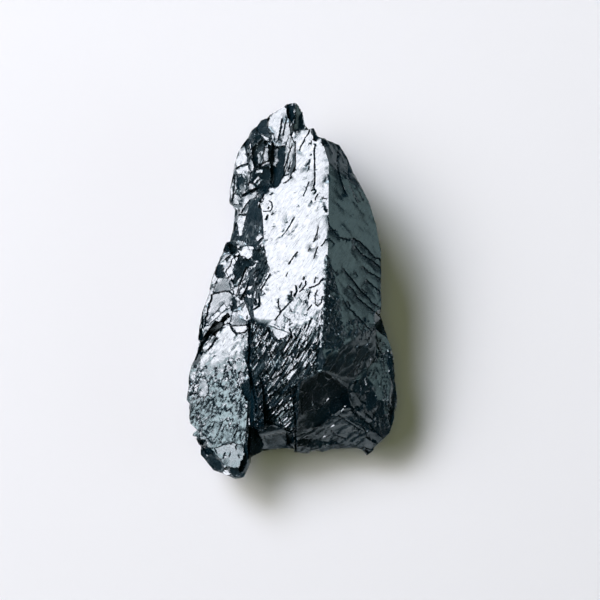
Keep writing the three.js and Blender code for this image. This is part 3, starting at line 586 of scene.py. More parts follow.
class Noise:
    """Smooth gradient noise over rows of three numbers, the same each time for one seed."""

    def __init__(self, seed):
        draw = np.random.default_rng(SEED + seed)
        self.table = draw.permutation(256)
        slopes = draw.normal(size=(256, 3))
        self.slopes = slopes / np.linalg.norm(slopes, axis=1)[:, None]

    def __call__(self, points):
        cell = np.floor(points).astype(int)
        part = points - cell
        fade = part ** 3 * (part * (part * 6 - 15) + 10)
        total = np.zeros(len(points))
        for corner in itertools.product((0, 1), repeat=3):
            spot = (cell + corner) & 255
            row = self.table[spot[:, 0]]
            row = self.table[(row + spot[:, 1]) & 255]
            row = self.table[(row + spot[:, 2]) & 255]
            share = np.prod(np.where(corner, fade, 1 - fade), axis=1)
            total += share * np.einsum("ij,ij->i", self.slopes[row], part - corner)
        return total

    def layers(self, points, count):
        """Several sizes of the noise, each half as wide and half as strong as the last."""
        total = np.zeros(len(points))
        for layer in range(count):
            total += self(points * 2 ** layer + 17.3 * layer) / 2 ** layer
        return total


def smooth(low, high, value):
    """0 below low, 1 above high and an even curve between them."""
    share = np.clip((value - low) / (high - low), 0, 1)
    return share * share * (3 - 2 * share)


def cells(points, length, width, direction, seed, ragged=0.35, ripple=1.7, margin=0.1):
    """Parts the plan into long ragged cells, whose hearts keep a margin from their borders.

    Gives each point its way from the heart of its cell, in millimetres, and the cell's five
    random numbers from 0 to 1.
    """
    draws = np.random.default_rng(SEED + seed).random((CELL_DRAWS, 5))
    order = np.random.default_rng(SEED + seed + 500).permutation(CELL_DRAWS)
    turn = math.radians(direction)
    along = np.array([math.sin(turn), math.cos(turn)])
    across = np.array([math.cos(turn), -math.sin(turn)])
    place = np.stack([points[:, :2] @ along / length, points[:, :2] @ across / width], axis=1)
    rippled = np.column_stack([place, np.zeros(len(place))]) * ripple
    warped = place + ragged * np.stack([Noise(seed)(rippled), Noise(seed + 1)(rippled)], axis=1)
    home = np.floor(warped).astype(int)
    nearest = np.full(len(points), np.inf)
    heart = np.zeros_like(place)
    chosen = np.zeros((len(points), 5))
    for shift in itertools.product((-1, 0, 1), repeat=2):
        cell = home + shift
        own = draws[order[(order[cell[:, 0] % CELL_DRAWS] + cell[:, 1]) % CELL_DRAWS]]
        middle = cell + margin + (1 - 2 * margin) * own[:, :2]
        distance = ((warped - middle) ** 2).sum(axis=1)
        closer = distance < nearest
        nearest = np.where(closer, distance, nearest)
        heart[closer] = middle[closer]
        chosen[closer] = own[closer]
    away = place - heart
    away = away[:, :1] * length * along + away[:, 1:] * width * across
    return away, np.roll(chosen, -2, axis=1)


def inside(outline, points):
    """Distance to an outline in plan: positive inside it, negative outside."""
    place = points[:, :2]
    nearest = np.full(len(points), np.inf)
    within = np.zeros(len(points), bool)
    corners = np.array(outline, float)
    for start, end in zip(corners, np.roll(corners, -1, axis=0)):
        side = end - start
        share = np.clip((place - start) @ side / (side @ side), 0, 1)
        nearest = np.minimum(nearest, np.linalg.norm(place - start - share[:, None] * side, axis=1))
        if side[1]:
            spans = (start[1] > place[:, 1]) != (end[1] > place[:, 1])
            cross = start[0] + side[0] * (place[:, 1] - start[1]) / side[1]
            within ^= spans & (place[:, 0] < cross)
    return np.where(within, nearest, -nearest)


def beside(route, points):
    """Distance to an open line, which side of it a point is on, and how far along it."""
    place = points[:, :2]
    corners = np.array(route, float)
    lengths = np.linalg.norm(np.diff(corners, axis=0), axis=1)
    nearest = np.full(len(points), np.inf)
    side_of = np.zeros(len(points))
    passed = np.zeros(len(points))
    gone = 0.0
    for start, end, length in zip(corners, corners[1:], lengths):
        side = end - start
        share = np.clip((place - start) @ side / (side @ side), 0, 1)
        away = place - start - share[:, None] * side
        distance = np.linalg.norm(away, axis=1)
        closer = distance < nearest
        nearest = np.where(closer, distance, nearest)
        turn = side[0] * (place[:, 1] - start[1]) - side[1] * (place[:, 0] - start[0])
        side_of = np.where(closer, np.sign(turn), side_of)
        passed = np.where(closer, (gone + share * length) / lengths.sum(), passed)
        gone += length
    return nearest, side_of, passed


def near_route(route, points, margin):
    """The points in the box round a route or an outline."""
    low = np.min(route, axis=0) - margin
    high = np.max(route, axis=0) + margin
    near = np.flatnonzero((points[:, 0] > low[0]) & (points[:, 0] < high[0]))
    return near[(points[near, 1] > low[1]) & (points[near, 1] < high[1])]


# ---- Fine mesh -----------------------------------------------------------------------

def face_normals(points, faces):
    """Unnormalised normals: their length is twice the area of each face."""
    corners = points[faces]
    return np.cross(corners[:, 1] - corners[:, 0], corners[:, 2] - corners[:, 0])


def vertex_normals(points, faces):
    """Unit normals at the points, and how far the faces round each point disagree."""
    flat = face_normals(points, faces)
    total = np.zeros_like(points)
    area = np.zeros(len(points))
    size = np.linalg.norm(flat, axis=1)
    for corner in range(3):
        np.add.at(total, faces[:, corner], flat)
        np.add.at(area, faces[:, corner], size)
    length = np.linalg.norm(total, axis=1)
    return total / np.maximum(length, 1e-12)[:, None], 1 - length / np.maximum(area, 1e-12)


def refine(points, faces, limit_of, rounds):
    """Halves each edge that is longer than the limit there, that many times at most."""
    for _ in range(rounds):
        corners = points[faces]
        limit = limit_of(corners.mean(axis=1), face_normals(points, faces))
        ends = np.stack([faces, np.roll(faces, -1, axis=1)], axis=2)
        ends.sort(axis=2)
        length = np.linalg.norm(points[ends[..., 0]] - points[ends[..., 1]], axis=2)
        long = (length > limit[:, None]).ravel()
        keys = ends[..., 0].ravel().astype(np.int64) * len(points) + ends[..., 1].ravel()
        unique, where = np.unique(keys, return_inverse=True)
        marked = np.zeros(len(unique), bool)
        marked[where[long]] = True
        if not marked.any():
            break
        first, second = unique[marked] // len(points), unique[marked] % len(points)
        middle = np.full(len(unique), -1)
        middle[marked] = len(points) + np.arange(marked.sum())
        points = np.vstack([points, (points[first] + points[second]) / 2])
        faces = split_faces(points, faces, middle[where].reshape(-1, 3))
    return points, faces


def split_faces(points, faces, middle):
    """Cuts each face at the middles of its marked edges."""
    count = (middle >= 0).sum(axis=1)
    made = [faces[count == 0]]
    for marks in (1, 2):
        face, mid = faces[count == marks], middle[count == marks]
        # Each face is turned so that its odd edge out comes first for one mark, last for two.
        odd = np.argmax(mid >= 0, axis=1) if marks == 1 else (np.argmin(mid >= 0, axis=1) + 1) % 3
        turn = (np.arange(3)[None, :] + odd[:, None]) % 3
        a, b, c = np.take_along_axis(face, turn, axis=1).T
        ab, bc, _ = np.take_along_axis(mid, turn, axis=1).T
        if marks == 1:
            made += [np.stack([a, ab, c], 1), np.stack([ab, b, c], 1)]
            continue
        made.append(np.stack([ab, b, bc], 1))
        short = (np.linalg.norm(points[a] - points[bc], axis=1)
                 < np.linalg.norm(points[ab] - points[c], axis=1))[:, None]
        made.append(np.where(short, np.stack([a, ab, bc], 1), np.stack([a, ab, c], 1)))
        made.append(np.where(short, np.stack([a, bc, c], 1), np.stack([ab, bc, c], 1)))
    (a, b, c), (ab, bc, ca) = faces[count == 3].T, middle[count == 3].T
    made += [np.stack(corner, 1) for corner in
             ((a, ab, ca), (ab, b, bc), (ca, bc, c), (ab, bc, ca))]
    return np.vstack(made)


# ---- Carving -------------------------------------------------------------------------

def strike(points, spot, direction, radius, bite):
    """Bites a shell-like hollow of that radius into the stone at a spot."""
    # The root is half the hollow's width. Half as much again allows for rough ground.
    reach = 1.5 * math.sqrt(2 * radius * bite)
    near = np.flatnonzero(np.abs(points[:, 0] - spot[0]) < reach)
    near = near[np.abs(points[near] - spot).max(axis=1) < reach]
    centre = spot + direction * (radius - bite)
    away = points[near] - centre
    distance = np.linalg.norm(away, axis=1)
    deep = np.clip(radius - distance, 0, bite * 1.2)
    deep *= smooth(reach, reach * 0.75, np.linalg.norm(points[near] - spot, axis=1))
    points[near] += away * (deep / np.maximum(distance, 1e-9))[:, None]


def lean(direction, draw, most):
    """A direction turned away from the given one by up to that many degrees."""
    tilted = direction + draw.normal(size=3) * math.tan(math.radians(most)) / 2
    return tilted / np.linalg.norm(tilted)


def scatter_strikes(points, faces, chosen, count, radii, bites, tilt, seed):
    """Strikes hollows at random spots of the chosen points."""
    draw = np.random.default_rng(SEED + seed)
    normals, _ = vertex_normals(points, faces)
    spots = np.flatnonzero(chosen)
    for index in draw.choice(spots, size=count):
        direction = lean(normals[index], draw, tilt)
        radius = radii[0] * (radii[1] / radii[0]) ** draw.random()
        bite = bites[0] + (bites[1] - bites[0]) * draw.random()
        strike(points, points[index].copy(), direction, radius, bite)


def chip_edges(points, faces, count, radii, bites, tilt, seed, sharp=0.02, lowest=0.5):
    """Knocks small shells off the sharp edges that stand higher than the lowest."""
    draw = np.random.default_rng(SEED + seed)
    normals, bend = vertex_normals(points, faces)
    pull = np.zeros_like(points)
    number = np.zeros(len(points))
    for first, second in ((0, 1), (1, 2), (2, 0)):
        np.add.at(pull, faces[:, first], points[faces[:, second]])
        np.add.at(number, faces[:, first], 1)
    pull = pull / np.maximum(number, 1)[:, None] - points
    ridge = (bend > sharp) & (np.einsum("ij,ij->i", pull, normals) < 0)
    ridge &= points[:, 2] > lowest
    for index in draw.choice(np.flatnonzero(ridge), size=count):
        radius = radii[0] * (radii[1] / radii[0]) ** draw.random()
        bite = bites[0] + (bites[1] - bites[0]) * draw.random() ** 2
        strike(points, points[index].copy(), lean(normals[index], draw, tilt), radius, bite)


def mirror_slope(points, faces):
    """Rise per millimetre east and north of the widest facet, which is the mirror."""
    flat = face_normals(points, faces)
    area = np.linalg.norm(flat, axis=1)
    unit = flat / np.maximum(area, 1e-12)[:, None]
    _, where = np.unique(np.round(unit, 2), axis=0, return_inverse=True)
    where = where.ravel()
    total = np.bincount(where, weights=area * (unit[:, 2] > 0.5))
    normal = flat[where == np.argmax(total)].sum(axis=0)
    return -normal[:2] / normal[2]


def any_way(share):
    """A direction in plan for each random number from 0 to 1."""
    angle = 2 * math.pi * share
    return np.stack([np.cos(angle), np.sin(angle)], axis=1)


def plan_slope(dip, towards):
    """Rise per millimetre east and north of a plane that dips towards a compass direction."""
    turn = math.radians(towards)
    return -math.tan(math.radians(dip)) * np.array([math.sin(turn), math.cos(turn)])


def waver(points, most, size, seed):
    """The points moved a little in plan, so that lines drawn through them run ragged."""
    moved = points.copy()
    moved[:, 0] += most * Noise(seed)(points / size)
    moved[:, 1] += most * Noise(seed + 1)(points / size)
    return moved


def outline_distance(points, faces):
    """How far each point is from the stone's outline in plan, where its top meets its sides."""
    rising = face_normals(points, faces)[:, 2] > 0
    above = np.zeros(len(points), bool)
    above[faces[rising]] = True
    under = np.zeros(len(points), bool)
    under[faces[~rising]] = True
    rim = np.flatnonzero(above & under & (points[:, 2] > STANDING))
    tree = KDTree(len(rim))
    for index in rim:
        tree.insert(points[index], index)
    tree.balance()
    return np.array([tree.find(point)[2] for point in points])


def wall_plates(points, facing, chosen):
    """How far each point of the sides and the underside moves out from its facet."""
    facing = facing[chosen]
    across = np.cross(facing, (0, 0, 1.0))
    across[np.linalg.norm(across, axis=1) < 0.05] = (1.0, 0, 0)
    across /= np.linalg.norm(across, axis=1)[:, None]
    down = np.cross(across, facing)
    spread = np.column_stack([np.einsum("ij,ij->i", points[chosen], across),
                              np.einsum("ij,ij->i", points[chosen], down),
                              np.zeros(len(facing))])
    move = np.zeros(len(points))
    for number, (size, direction, most, rise, share) in enumerate(WALL_PLATES):
        away, draw = cells(spread, *size, direction, 400 + 10 * number)
        tip = most * draw[:, 1:2] * any_way(draw[:, 0])
        lift = (tip * away).sum(axis=1) + rise * (2 * draw[:, 4] - 1)
        move[chosen] += (draw[:, 3] < share) * lift
    return move


def lay_plates(points, slopes, level, upward):
    """Turns the plates of each patch: some level with the mirror, the others at random."""
    for number, patch in enumerate(PLATES):
        zone = smooth(0, PATCH_RIM, inside(patch.outline, points)) * upward
        near = zone > 0
        own = slopes[near]
        bunch = Noise(40 + number)(points[near] / GATHER[1])
        fill = patch.fill * (1 + GATHER[0] * patch.gather * bunch)
        away, draw = cells(points[near], *patch.size, patch.direction, 50 + 7 * number)
        turn = patch.turn * (LEAST_TURN + (1 - LEAST_TURN) * draw[:, 1:2])
        turned = own + np.array(patch.lean) + turn * any_way(draw[:, 0])
        bright = draw[:, 2] < patch.bright
        turned[bright] = level + LEVEL_TURN * (draw[bright, :2] - 0.5)
        lift = ((turned - own) * away).sum(axis=1) + patch.rise * (2 * draw[:, 4] - 1)
        used = draw[:, 3] < fill
        points[near, 2] += zone[near] * used * np.clip(lift, -MOST_LIFT, MOST_LIFT)


def hackle(points, slopes, level, upward):
    """Breaks the foot of the mirror into long strokes, some level with it and some in shade."""
    zone = smooth(-0.1, 0.5, inside(HACKLE, points) + 0.4 * Noise(3)(points / 0.9)) * upward
    near = zone > 0
    place = points[near]
    height, bend, climb = START_LINE
    depth = height + climb * np.maximum(place[:, 0] - bend, 0) - place[:, 1]
    depth += START_RAGGED[0] * Noise(4)(place / START_RAGGED[1])
    # The strokes lean over more and more towards the south.
    bent = place.copy()
    start, first, second = STROKE_BEND
    down = bent[:, 1] - start
    bent[:, 0] -= first * down - second * down ** 2
    away, draw = cells(bent, *STROKE, 0, 20, ragged=0.5)
    away[:, 0] += STROKE_SLANT * away[:, 1]
    # Bright strokes grow fewer with the distance from the line, and towards the west.
    share = 0.95 - 0.3 * smooth(-0.8, 2.6, depth) - 0.3 * smooth(3.5, 8, depth)
    share *= 0.4 + 0.6 * smooth(-5.0, -2.4, place[:, 0])
    bright = (draw[:, 0] < share)[:, None]
    turned = np.where(bright, level, plan_slope(*HACKLE_SHADE))
    turned += np.where(bright, BRIGHT_TURN, SHADED_TURN) * (draw[:, 1:3] - 0.5)
    lift = ((turned - slopes[near]) * away).sum(axis=1) + STROKE_RISE * (draw[:, 3] - 0.5)
    points[near, 2] += zone[near] * np.clip(lift, -STROKE_LIFT, STROKE_LIFT)


def step_lines(points, upward):
    """Drops the flank along its step lines, each one healing away from the line."""
    wander = waver(points, most=0.16, size=0.7, seed=5)
    for drop, route in FLANK_STEPS:
        distance, side, passed = beside(route, wander)
        fade = smooth(0, 0.12, passed)
        if route[-1][0] < STEP_THROUGH:
            fade *= 1 - smooth(0.85, 1.0, passed)
        below = np.exp(-distance / STEP_HEAL)
        fall = drop * np.where(side < 0, below, np.clip(1 - distance / 0.1, 0, 1))
        fall += (STEP_FURROW + drop) * np.clip(1 - distance / 0.08, 0, 1)
        points[:, 2] -= fall * fade * upward


def open_cracks(points, upward):
    """Opens the cracks as V-shaped grooves with ragged lips."""
    wander = waver(points, most=0.14, size=0.6, seed=7)
    lips = 1 + 0.6 * Noise(9)(points / 0.6)
    for half, route in CRACKS:
        near = near_route(route, points, half + 0.6)
        distance, _, passed = beside(route, wander[near])
        width = np.maximum(CRACK_WIDTH * half * lips[near], CRACK_LEAST)
        ends = smooth(0, CRACK_TAPER, passed) * smooth(1.0, 1 - CRACK_TAPER, passed)
        depth = CRACK_DEPTH * half * ends * upward[near]
        points[near, 2] -= depth * np.clip(1 - distance / width, 0, 1)


def round_tongue(points, upward):
    """Rounds the bend across the tongue, which the plain solid has as a plain edge."""
    (west, low), (east, high) = TONGUE_BEND
    near = np.flatnonzero((points[:, 0] > west - 0.6) & (points[:, 0] < east - 0.3))
    line = low + (points[near, 0] - west) * (high - low) / (east - west)
    away = np.abs(points[near, 1] - line)
    cut = TONGUE_TURN / (4 * TONGUE_ROUND) * np.maximum(TONGUE_ROUND - away, 0) ** 2
    points[near, 2] -= cut * upward[near]


def lay_breaks(points, upward):
    """Levels each single break to its own plane, about the middle of its outline."""
    wander = waver(points, most=0.2, size=0.5, seed=10)
    for plane, lift, outline in BREAKS:
        near = near_route(outline, points, 0.3)
        zone = smooth(-0.05, 0.05, inside(outline, wander[near])) * upward[near]
        inner = near[zone > 0.5]
        if not len(inner):
            continue
        middle = points[inner].mean(axis=0)
        away = points[near, :2] - middle[:2]
        target = middle[2] + away @ (plan_slope(*plane) + middle[:2] / FAN) + lift
        points[near, 2] += zone * (target - points[near, 2])


def lay_streaks(points, slopes, upward, piece=0.6, most=0.3):
    """Tilts a row of short pieces along each streak, each about its own middle.

    A piece is about that long, and its ends move up or down by that much at most.
    """
    wander = waver(points, most=0.12, size=0.5, seed=14)
    for plane, half, route in STREAKS:
        near = near_route(route, points, half + 0.3)
        distance, _, passed = beside(route, wander[near])
        corners = np.array(route)
        gone = np.append(0, np.cumsum(np.linalg.norm(np.diff(corners, axis=0), axis=1)))
        count = max(1, round(gone[-1] / piece))
        middle = (np.minimum(passed * count, count - 0.5).astype(int) + 0.5) / count * gone[-1]
        heart = np.stack([np.interp(middle, gone, corners[:, 0]),
                          np.interp(middle, gone, corners[:, 1])], axis=1)
        turned = plan_slope(*plane) - slopes[near]
        lift = (turned * (points[near, :2] - heart)).sum(axis=1)
        zone = smooth(half + 0.04, half - 0.04, distance) * upward[near]
        points[near, 2] += zone * np.clip(lift, -most, most)


def break_sides(points, faces):
    """Breaks the sides and the underside, and spares the outline in plan."""
    normals, _ = vertex_normals(points, faces)
    steep = (normals[:, 2] < STEEP_FACE) & (points[:, 2] > STANDING)
    below = steep & (normals[:, 2] < UNDER_FACE)
    flat = face_normals(points, faces)
    facing = np.zeros_like(points)
    facing[faces.ravel()] = np.repeat(flat / np.linalg.norm(flat, axis=1)[:, None], 3, axis=0)
    original = points.copy()
    # The outline itself moves a quarter as far, and what is 2 mm away from it moves fully.
    spared = 0.25 + 0.75 * smooth(0, 2.0, outline_distance(points, faces))
    scatter_strikes(points, faces, below, count=70, radii=(5, 22), bites=(0.15, 0.5), tilt=22,
                    seed=31)
    scatter_strikes(points, faces, steep & ~below, count=60, radii=(3, 14), bites=(0.06, 0.22),
                    tilt=18, seed=32)
    points += facing * wall_plates(original, facing, steep)[:, None]
    points[:] = original + (points - original) * spared[:, None]


def carve(points, faces):
    """Gives the plain faceted stone its broken surface. Works in millimetres."""
    level = mirror_slope(points, faces)
    break_sides(points, faces)
    chip_edges(points, faces, count=360, radii=(0.5, 2.4), bites=(0.02, 0.13), tilt=40, seed=36)

    normals, _ = vertex_normals(points, faces)
    upward = smooth(*TOP_FADE, normals[:, 2])
    slopes = -normals[:, :2] / np.maximum(normals[:, 2:], TOP_FADE[0])
    round_tongue(points, upward)
    lay_plates(points, slopes, level, upward)
    lay_breaks(points, upward)
    hackle(points, slopes, level, upward)
    lay_streaks(points, slopes, upward)
    step_lines(points, upward)
    open_cracks(points, upward)

    normals, _ = vertex_normals(points, faces)
    side = smooth(*SIDE_FADE, normals[:, 2])
    rough = (ROUGH_TOP + ROUGH_SIDE * side) * Noise(12).layers(points / ROUGH_WIDTH, 3)
    rough += side * FURROW_DEPTH * Noise(13).layers(points / np.array(FURROW_WIDTH), 2)
    for outline, share in QUIET:
        rough = np.where((inside(outline, points) > 0) & (side < 1), share * rough, rough)
    points += normals * rough[:, None]
    points[:, 2] = np.maximum(points[:, 2], 0)
    return points


# ---- Finish --------------------------------------------------------------------------

def shungite_material(finish):
    """Fresh shungite: black to silver-grey with a near-metallic shine and a fine grain."""
    material = bpy.data.materials.new("shungite")
    material.use_nodes = True
    nodes, links = material.node_tree.nodes, material.node_tree.links
    nodes.clear()
    output = nodes.new("ShaderNodeOutputMaterial")
    shader = nodes.new("ShaderNodeBsdfPrincipled")
    links.new(shader.outputs["BSDF"], output.inputs["Surface"])
    shader.inputs["IOR"].default_value = 1.8
    shader.inputs["Specular Tint"].default_value = (0.78, 0.96, 1.0, 1)

    place = nodes.new("ShaderNodeTexCoord")
    turned = nodes.new("ShaderNodeMapping")
    turned.vector_type = "TEXTURE"
    turned.inputs["Rotation"].default_value = (0, 0, -math.radians(GRAIN))
    turned.inputs["Scale"].default_value = (0.22 * MM, 1.0 * MM, 0.4 * MM)
    links.new(place.outputs["Object"], turned.inputs["Vector"])

    grain = nodes.new("ShaderNodeTexNoise")
    grain.inputs["Scale"].default_value = 1.0
    grain.inputs["Detail"].default_value = 5
    grain.inputs["Roughness"].default_value = 0.62
    links.new(turned.outputs["Vector"], grain.inputs["Vector"])

    blotch = nodes.new("ShaderNodeTexNoise")
    blotch.inputs["Scale"].default_value = 0.35 / MM
    blotch.inputs["Detail"].default_value = 4
    links.new(place.outputs["Object"], blotch.inputs["Vector"])

    tone = nodes.new("ShaderNodeValToRGB")
    tone.color_ramp.elements[0].position = 0.3
    tone.color_ramp.elements[0].color = (*finish.dark_tone, 1)
    tone.color_ramp.elements[1].position = 0.7
    tone.color_ramp.elements[1].color = (*finish.bright_tone, 1)
    links.new(blotch.outputs["Fac"], tone.inputs["Fac"])
    links.new(tone.outputs["Color"], shader.inputs["Base Color"])

    sheen = nodes.new("ShaderNodeMapRange")
    sheen.inputs["From Min"].default_value = 0.3
    sheen.inputs["From Max"].default_value = 0.7
    sheen.inputs["To Min"].default_value = finish.smoothest
    sheen.inputs["To Max"].default_value = finish.roughest
    links.new(grain.outputs["Fac"], sheen.inputs["Value"])
    links.new(sheen.outputs["Result"], shader.inputs["Roughness"])

    bump = nodes.new("ShaderNodeBump")
    bump.inputs["Strength"].default_value = 1.0
    bump.inputs["Distance"].default_value = finish.grain_depth * MM
    links.new(grain.outputs["Fac"], bump.inputs["Height"])
    links.new(bump.outputs["Normal"], shader.inputs["Normal"])
    return material


def plain_material(name, colour, roughness):
    """A plain matt surface for the studio floor."""
    material = bpy.data.materials.new(name)
    material.use_nodes = True
    shader = material.node_tree.nodes["Principled BSDF"]
    shader.inputs["Base Color"].default_value = (*colour, 1)
    shader.inputs["Roughness"].default_value = roughness
    shader.inputs["Specular IOR Level"].default_value = 0.2
    return material


# ---- Settings ------------------------------------------------------------------------

class NuggetStone(bpy.types.PropertyGroup):
    """Sizes of the stone's fine surface."""

    edge: FloatProperty(
        name="Fine Edge", description="Longest mesh edge on the upper faces, in millimetres",
        default=0.22, min=0.1, max=2.0)
    stroke_edge: FloatProperty(
        name="Stroke Edge", description="Longest mesh edge in the most broken parts, in millimetres",
        default=0.155, min=0.1, max=2.0)
    line_edge: FloatProperty(
        name="Line Edge", description="Longest mesh edge along cracks and steps, in millimetres",
        default=0.11, min=0.05, max=2.0)
    mirror_edge: FloatProperty(
        name="Mirror Edge", description="Longest mesh edge on the mirror and flank, in millimetres",
        default=0.3, min=0.1, max=2.0)
    side_edge: FloatProperty(
        name="Side Edge", description="Longest mesh edge on the steep sides, in millimetres",
        default=0.5, min=0.1, max=4.0)
    hidden_edge: FloatProperty(
        name="Hidden Edge", description="Longest mesh edge on the underside, in millimetres",
        default=0.6, min=0.1, max=4.0)
    most_faces: IntProperty(
        name="Most Faces", description="The mesh is thinned out to this many faces",
        default=192000, min=1000)
    crease: FloatProperty(
        name="Crease", description="Faces that meet at more than this angle stay sharp",
        default=math.radians(28), subtype="ANGLE")


class NuggetFinish(bpy.types.PropertyGroup):
    """Colours and shine of the stone."""

    dark_tone: FloatVectorProperty(
        name="Dark Tone", description="Colour of the duller patches",
        default=(0.0004, 0.007, 0.013), subtype="COLOR", min=0, max=1)
    bright_tone: FloatVectorProperty(
        name="Bright Tone", description="Colour of the brighter patches",
        default=(0.0015, 0.014, 0.023), subtype="COLOR", min=0, max=1)
    smoothest: FloatProperty(
        name="Smoothest", description="Roughness of the glassy patches", default=0.18, min=0, max=1)
    roughest: FloatProperty(
        name="Roughest", description="Roughness of the dull patches", default=0.3, min=0, max=1)
    grain_depth: FloatProperty(
        name="Grain Depth", description="Depth of the fine grain, in millimetres", default=0.012)


class NuggetStudio(bpy.types.PropertyGroup):
    """Lights, floor and camera."""

    floor_tone: FloatVectorProperty(
        name="Floor", description="Colour of the floor", default=(0.865, 0.87, 0.92),
        subtype="COLOR", min=0, max=1)
    window_power: FloatProperty(
        name="Window", description="Power of the light that the mirror reflects",
        default=4.95, subtype="POWER")
    fill_power: FloatProperty(
        name="Fill", description="Power of the light that only the floor shows",
        default=3.25, subtype="POWER")
    key_power: FloatProperty(
        name="Key", description="Power of the light that throws the shadow",
        default=6.1, subtype="POWER")
    sky_power: FloatProperty(
        name="Sky", description="Power of the wide light round the window",
        default=4.6, subtype="POWER")
    side_power: FloatProperty(
        name="Side", description="Power of the dim light beyond the flank",
        default=0.41, subtype="POWER")
    overhead_power: FloatProperty(
        name="Overhead", description="Power of the warm light that falls on the floor only",
        default=0.5, subtype="POWER")
    card_power: FloatProperty(
        name="Card", description="Power of the dim card that only the tongue's foot reflects",
        default=2.9, subtype="POWER")
    room: FloatProperty(
        name="Room", description="Brightness of the dim room round the stone", default=0.03, min=0)
    camera_height: FloatProperty(
        name="Camera Height", description="Height of the camera over the floor",
        default=0.36, unit="LENGTH")
    lens: FloatProperty(
        name="Lens", description="Focal length of the camera", default=143.0, unit="CAMERA")


# ---- Operators -----------------------------------------------------------------------

def thin_out(context, piece, most_faces):
    """Collapses the edges that matter least until the mesh is small enough."""
    thinner = piece.modifiers.new("thinner", "DECIMATE")
    thinner.ratio = most_faces / len(piece.data.polygons)
    full = piece.data
    piece.data = bpy.data.meshes.new_from_object(
        piece.evaluated_get(context.evaluated_depsgraph_get()))
    piece.modifiers.clear()
    piece.data.name = full.name
    bpy.data.meshes.remove(full)


class OBJECT_OT_nugget_stone(bpy.types.Operator):
    """Carve the fine broken surface of the stone out of its plain faceted solid"""

    bl_idname = "object.nugget_stone"
    bl_label = "Nugget Stone"

    def execute(self, context):
        stone = context.scene.nugget_stone
        finish = context.scene.nugget_finish
        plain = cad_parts["nugget"].data
        plain.calc_loop_triangles()
        points = np.zeros(len(plain.vertices) * 3)
        plain.vertices.foreach_get("co", points)
        points = points.reshape(-1, 3) / MM
        faces = np.zeros(len(plain.loop_triangles) * 3, int)
        plain.loop_triangles.foreach_get("vertices", faces)
        faces = faces.reshape(-1, 3)
        # Corners that several facets share become one point.
        points, merged = np.unique(np.round(points, 4), axis=0, return_inverse=True)
        faces = merged.ravel()[faces]
        coarser = 1.0

        def limit_by_place(middles, normals):
            rising = normals[:, 2] / np.linalg.norm(normals, axis=1)
            size = np.where(rising < UNDER_FACE, stone.hidden_edge, stone.side_edge)
            up = rising > UPPER_FACE
            size[up] = stone.edge
            for outline, edge in ((MIRROR_SIDE, stone.mirror_edge), (FLANK_SIDE, stone.mirror_edge),
                                  (HACKLE, stone.stroke_edge), (CROWN, stone.stroke_edge),
                                  (SHELF, stone.stroke_edge)):
                near = near_route(outline, middles, 0)
                size[near[up[near] & (inside(outline, middles[near]) > 0)]] = edge
            return size * coarser

        def limit_by_lines(middles, normals):
            size = np.full(len(middles), np.inf)
            for *_, route in FLANK_STEPS + CRACKS + STREAKS:
                near = near_route(route, middles, 0.3)
                near = near[normals[near, 2] > 0]
                size[near[beside(route, middles[near])[0] < 0.22]] = stone.line_edge
            return size * coarser

        points, faces = refine(points, faces, limit_by_place, rounds=16)
        points, faces = refine(points, faces, limit_by_lines, rounds=3)
        points = carve(points, faces)
        mesh = bpy.data.meshes.new("nugget_surface")
        mesh.from_pydata((points * MM).tolist(), [], faces.tolist())
        piece = bpy.data.objects.new("nugget_surface", mesh)
        context.scene.collection.objects.link(piece)
        if len(faces) > stone.most_faces:
            thin_out(context, piece, stone.most_faces)
        mesh = piece.data
        mesh.shade_smooth()
        mesh.set_sharp_from_angle(angle=stone.crease)
        mesh.materials.append(shungite_material(finish))
        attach(piece, "root")
        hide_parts("nugget")
        return {"FINISHED"}


def soft_light(context, name, power, compass, zenith, distance, size, colour):
    """A round area light in a compass direction, that many degrees from straight up."""
    light = bpy.data.lights.new(name, "AREA")
    light.shape = "DISK"
    light.size = size
    light.energy = power
    light.color = colour
    obj = bpy.data.objects.new(name, light)
    context.scene.collection.objects.link(obj)
    turn, down = math.radians(compass), math.radians(zenith)
    obj.location = Vector((math.sin(down) * math.sin(turn), math.sin(down) * math.cos(turn),
                           math.cos(down))) * distance
    away = Vector(AIM) - obj.location
    obj.rotation_euler = away.to_track_quat("-Z", "Y").to_euler()
    obj.visible_camera = False
    obj.visible_diffuse = name not in SHINE_ONLY
    obj.visible_glossy = name not in FLOOR_ONLY


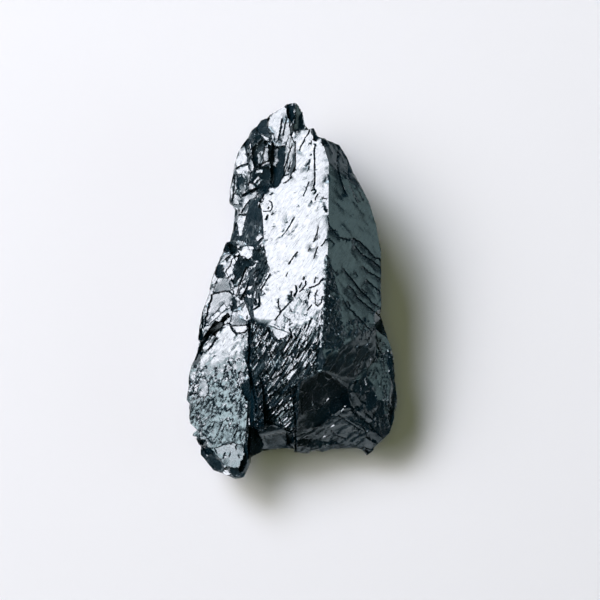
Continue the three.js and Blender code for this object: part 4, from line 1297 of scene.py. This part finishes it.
class OBJECT_OT_nugget_studio(bpy.types.Operator):
    """Set up the pale floor, the window light and the camera straight above"""

    bl_idname = "object.nugget_studio"
    bl_label = "Nugget Studio"

    def execute(self, context):
        studio = context.scene.nugget_studio
        scene = context.scene
        scene.view_settings.view_transform = "Standard"

        corners = [(x * FLOOR_HALF, y * FLOOR_HALF, 0) for x, y in ((-1, -1), (1, -1), (1, 1), (-1, 1))]
        floor_mesh = bpy.data.meshes.new("floor")
        floor_mesh.from_pydata(corners, [], [(0, 1, 2, 3)])
        floor_mesh.materials.append(plain_material("floor", studio.floor_tone, 0.75))
        floor = bpy.data.objects.new("floor", floor_mesh)
        scene.collection.objects.link(floor)

        for name, place in LIGHTS.items():
            soft_light(context, name, getattr(studio, f"{name}_power"), *place)

        world = bpy.data.worlds.new("room")
        scene.world = world
        world.use_nodes = True
        nodes, links = world.node_tree.nodes, world.node_tree.links
        room = nodes["Background"]
        room.inputs["Color"].default_value = (0.86, 0.97, 1.0, 1)
        room.inputs["Strength"].default_value = studio.room
        backdrop = nodes.new("ShaderNodeBackground")
        backdrop.inputs["Color"].default_value = (0.80, 0.81, 0.83, 1)
        seen = nodes.new("ShaderNodeLightPath")
        mix = nodes.new("ShaderNodeMixShader")
        links.new(seen.outputs["Is Camera Ray"], mix.inputs["Fac"])
        links.new(room.outputs["Background"], mix.inputs[1])
        links.new(backdrop.outputs["Background"], mix.inputs[2])
        links.new(mix.outputs["Shader"], nodes["World Output"].inputs["Surface"])

        camera_data = bpy.data.cameras.new("camera")
        camera_data.sensor_width = 36
        camera_data.lens = studio.lens
        camera_data.clip_end = 10
        camera = bpy.data.objects.new("camera", camera_data)
        scene.collection.objects.link(camera)
        camera.location = (CAMERA_PLACE[0] * MM, CAMERA_PLACE[1] * MM, studio.camera_height)
        scene.camera = camera
        return {"FINISHED"}


class VIEW3D_PT_nugget(bpy.types.Panel):
    """The nugget's pieces and settings"""

    bl_idname = "VIEW3D_PT_nugget"
    bl_label = "Nugget"
    bl_space_type = "VIEW_3D"
    bl_region_type = "UI"
    bl_category = "Nugget"

    def draw(self, context):
        layout = self.layout
        for settings in (context.scene.nugget_stone, context.scene.nugget_finish,
                         context.scene.nugget_studio):
            column = layout.column()
            for name in settings.__annotations__:
                column.prop(settings, name)
        layout.operator(OBJECT_OT_nugget_stone.bl_idname)
        layout.operator(OBJECT_OT_nugget_studio.bl_idname)


CLASSES = (NuggetStone, NuggetFinish, NuggetStudio, OBJECT_OT_nugget_stone,
           OBJECT_OT_nugget_studio, VIEW3D_PT_nugget)


def register():
    for cls in CLASSES:
        bpy.utils.register_class(cls)
    bpy.types.Scene.nugget_stone = PointerProperty(type=NuggetStone)
    bpy.types.Scene.nugget_finish = PointerProperty(type=NuggetFinish)
    bpy.types.Scene.nugget_studio = PointerProperty(type=NuggetStudio)


def unregister():
    del bpy.types.Scene.nugget_studio
    del bpy.types.Scene.nugget_finish
    del bpy.types.Scene.nugget_stone
    for cls in reversed(CLASSES):
        bpy.utils.unregister_class(cls)


def main():
    register()
    bpy.ops.object.nugget_studio()
    bpy.ops.object.nugget_stone()


if __name__ == "__main__":
    main()
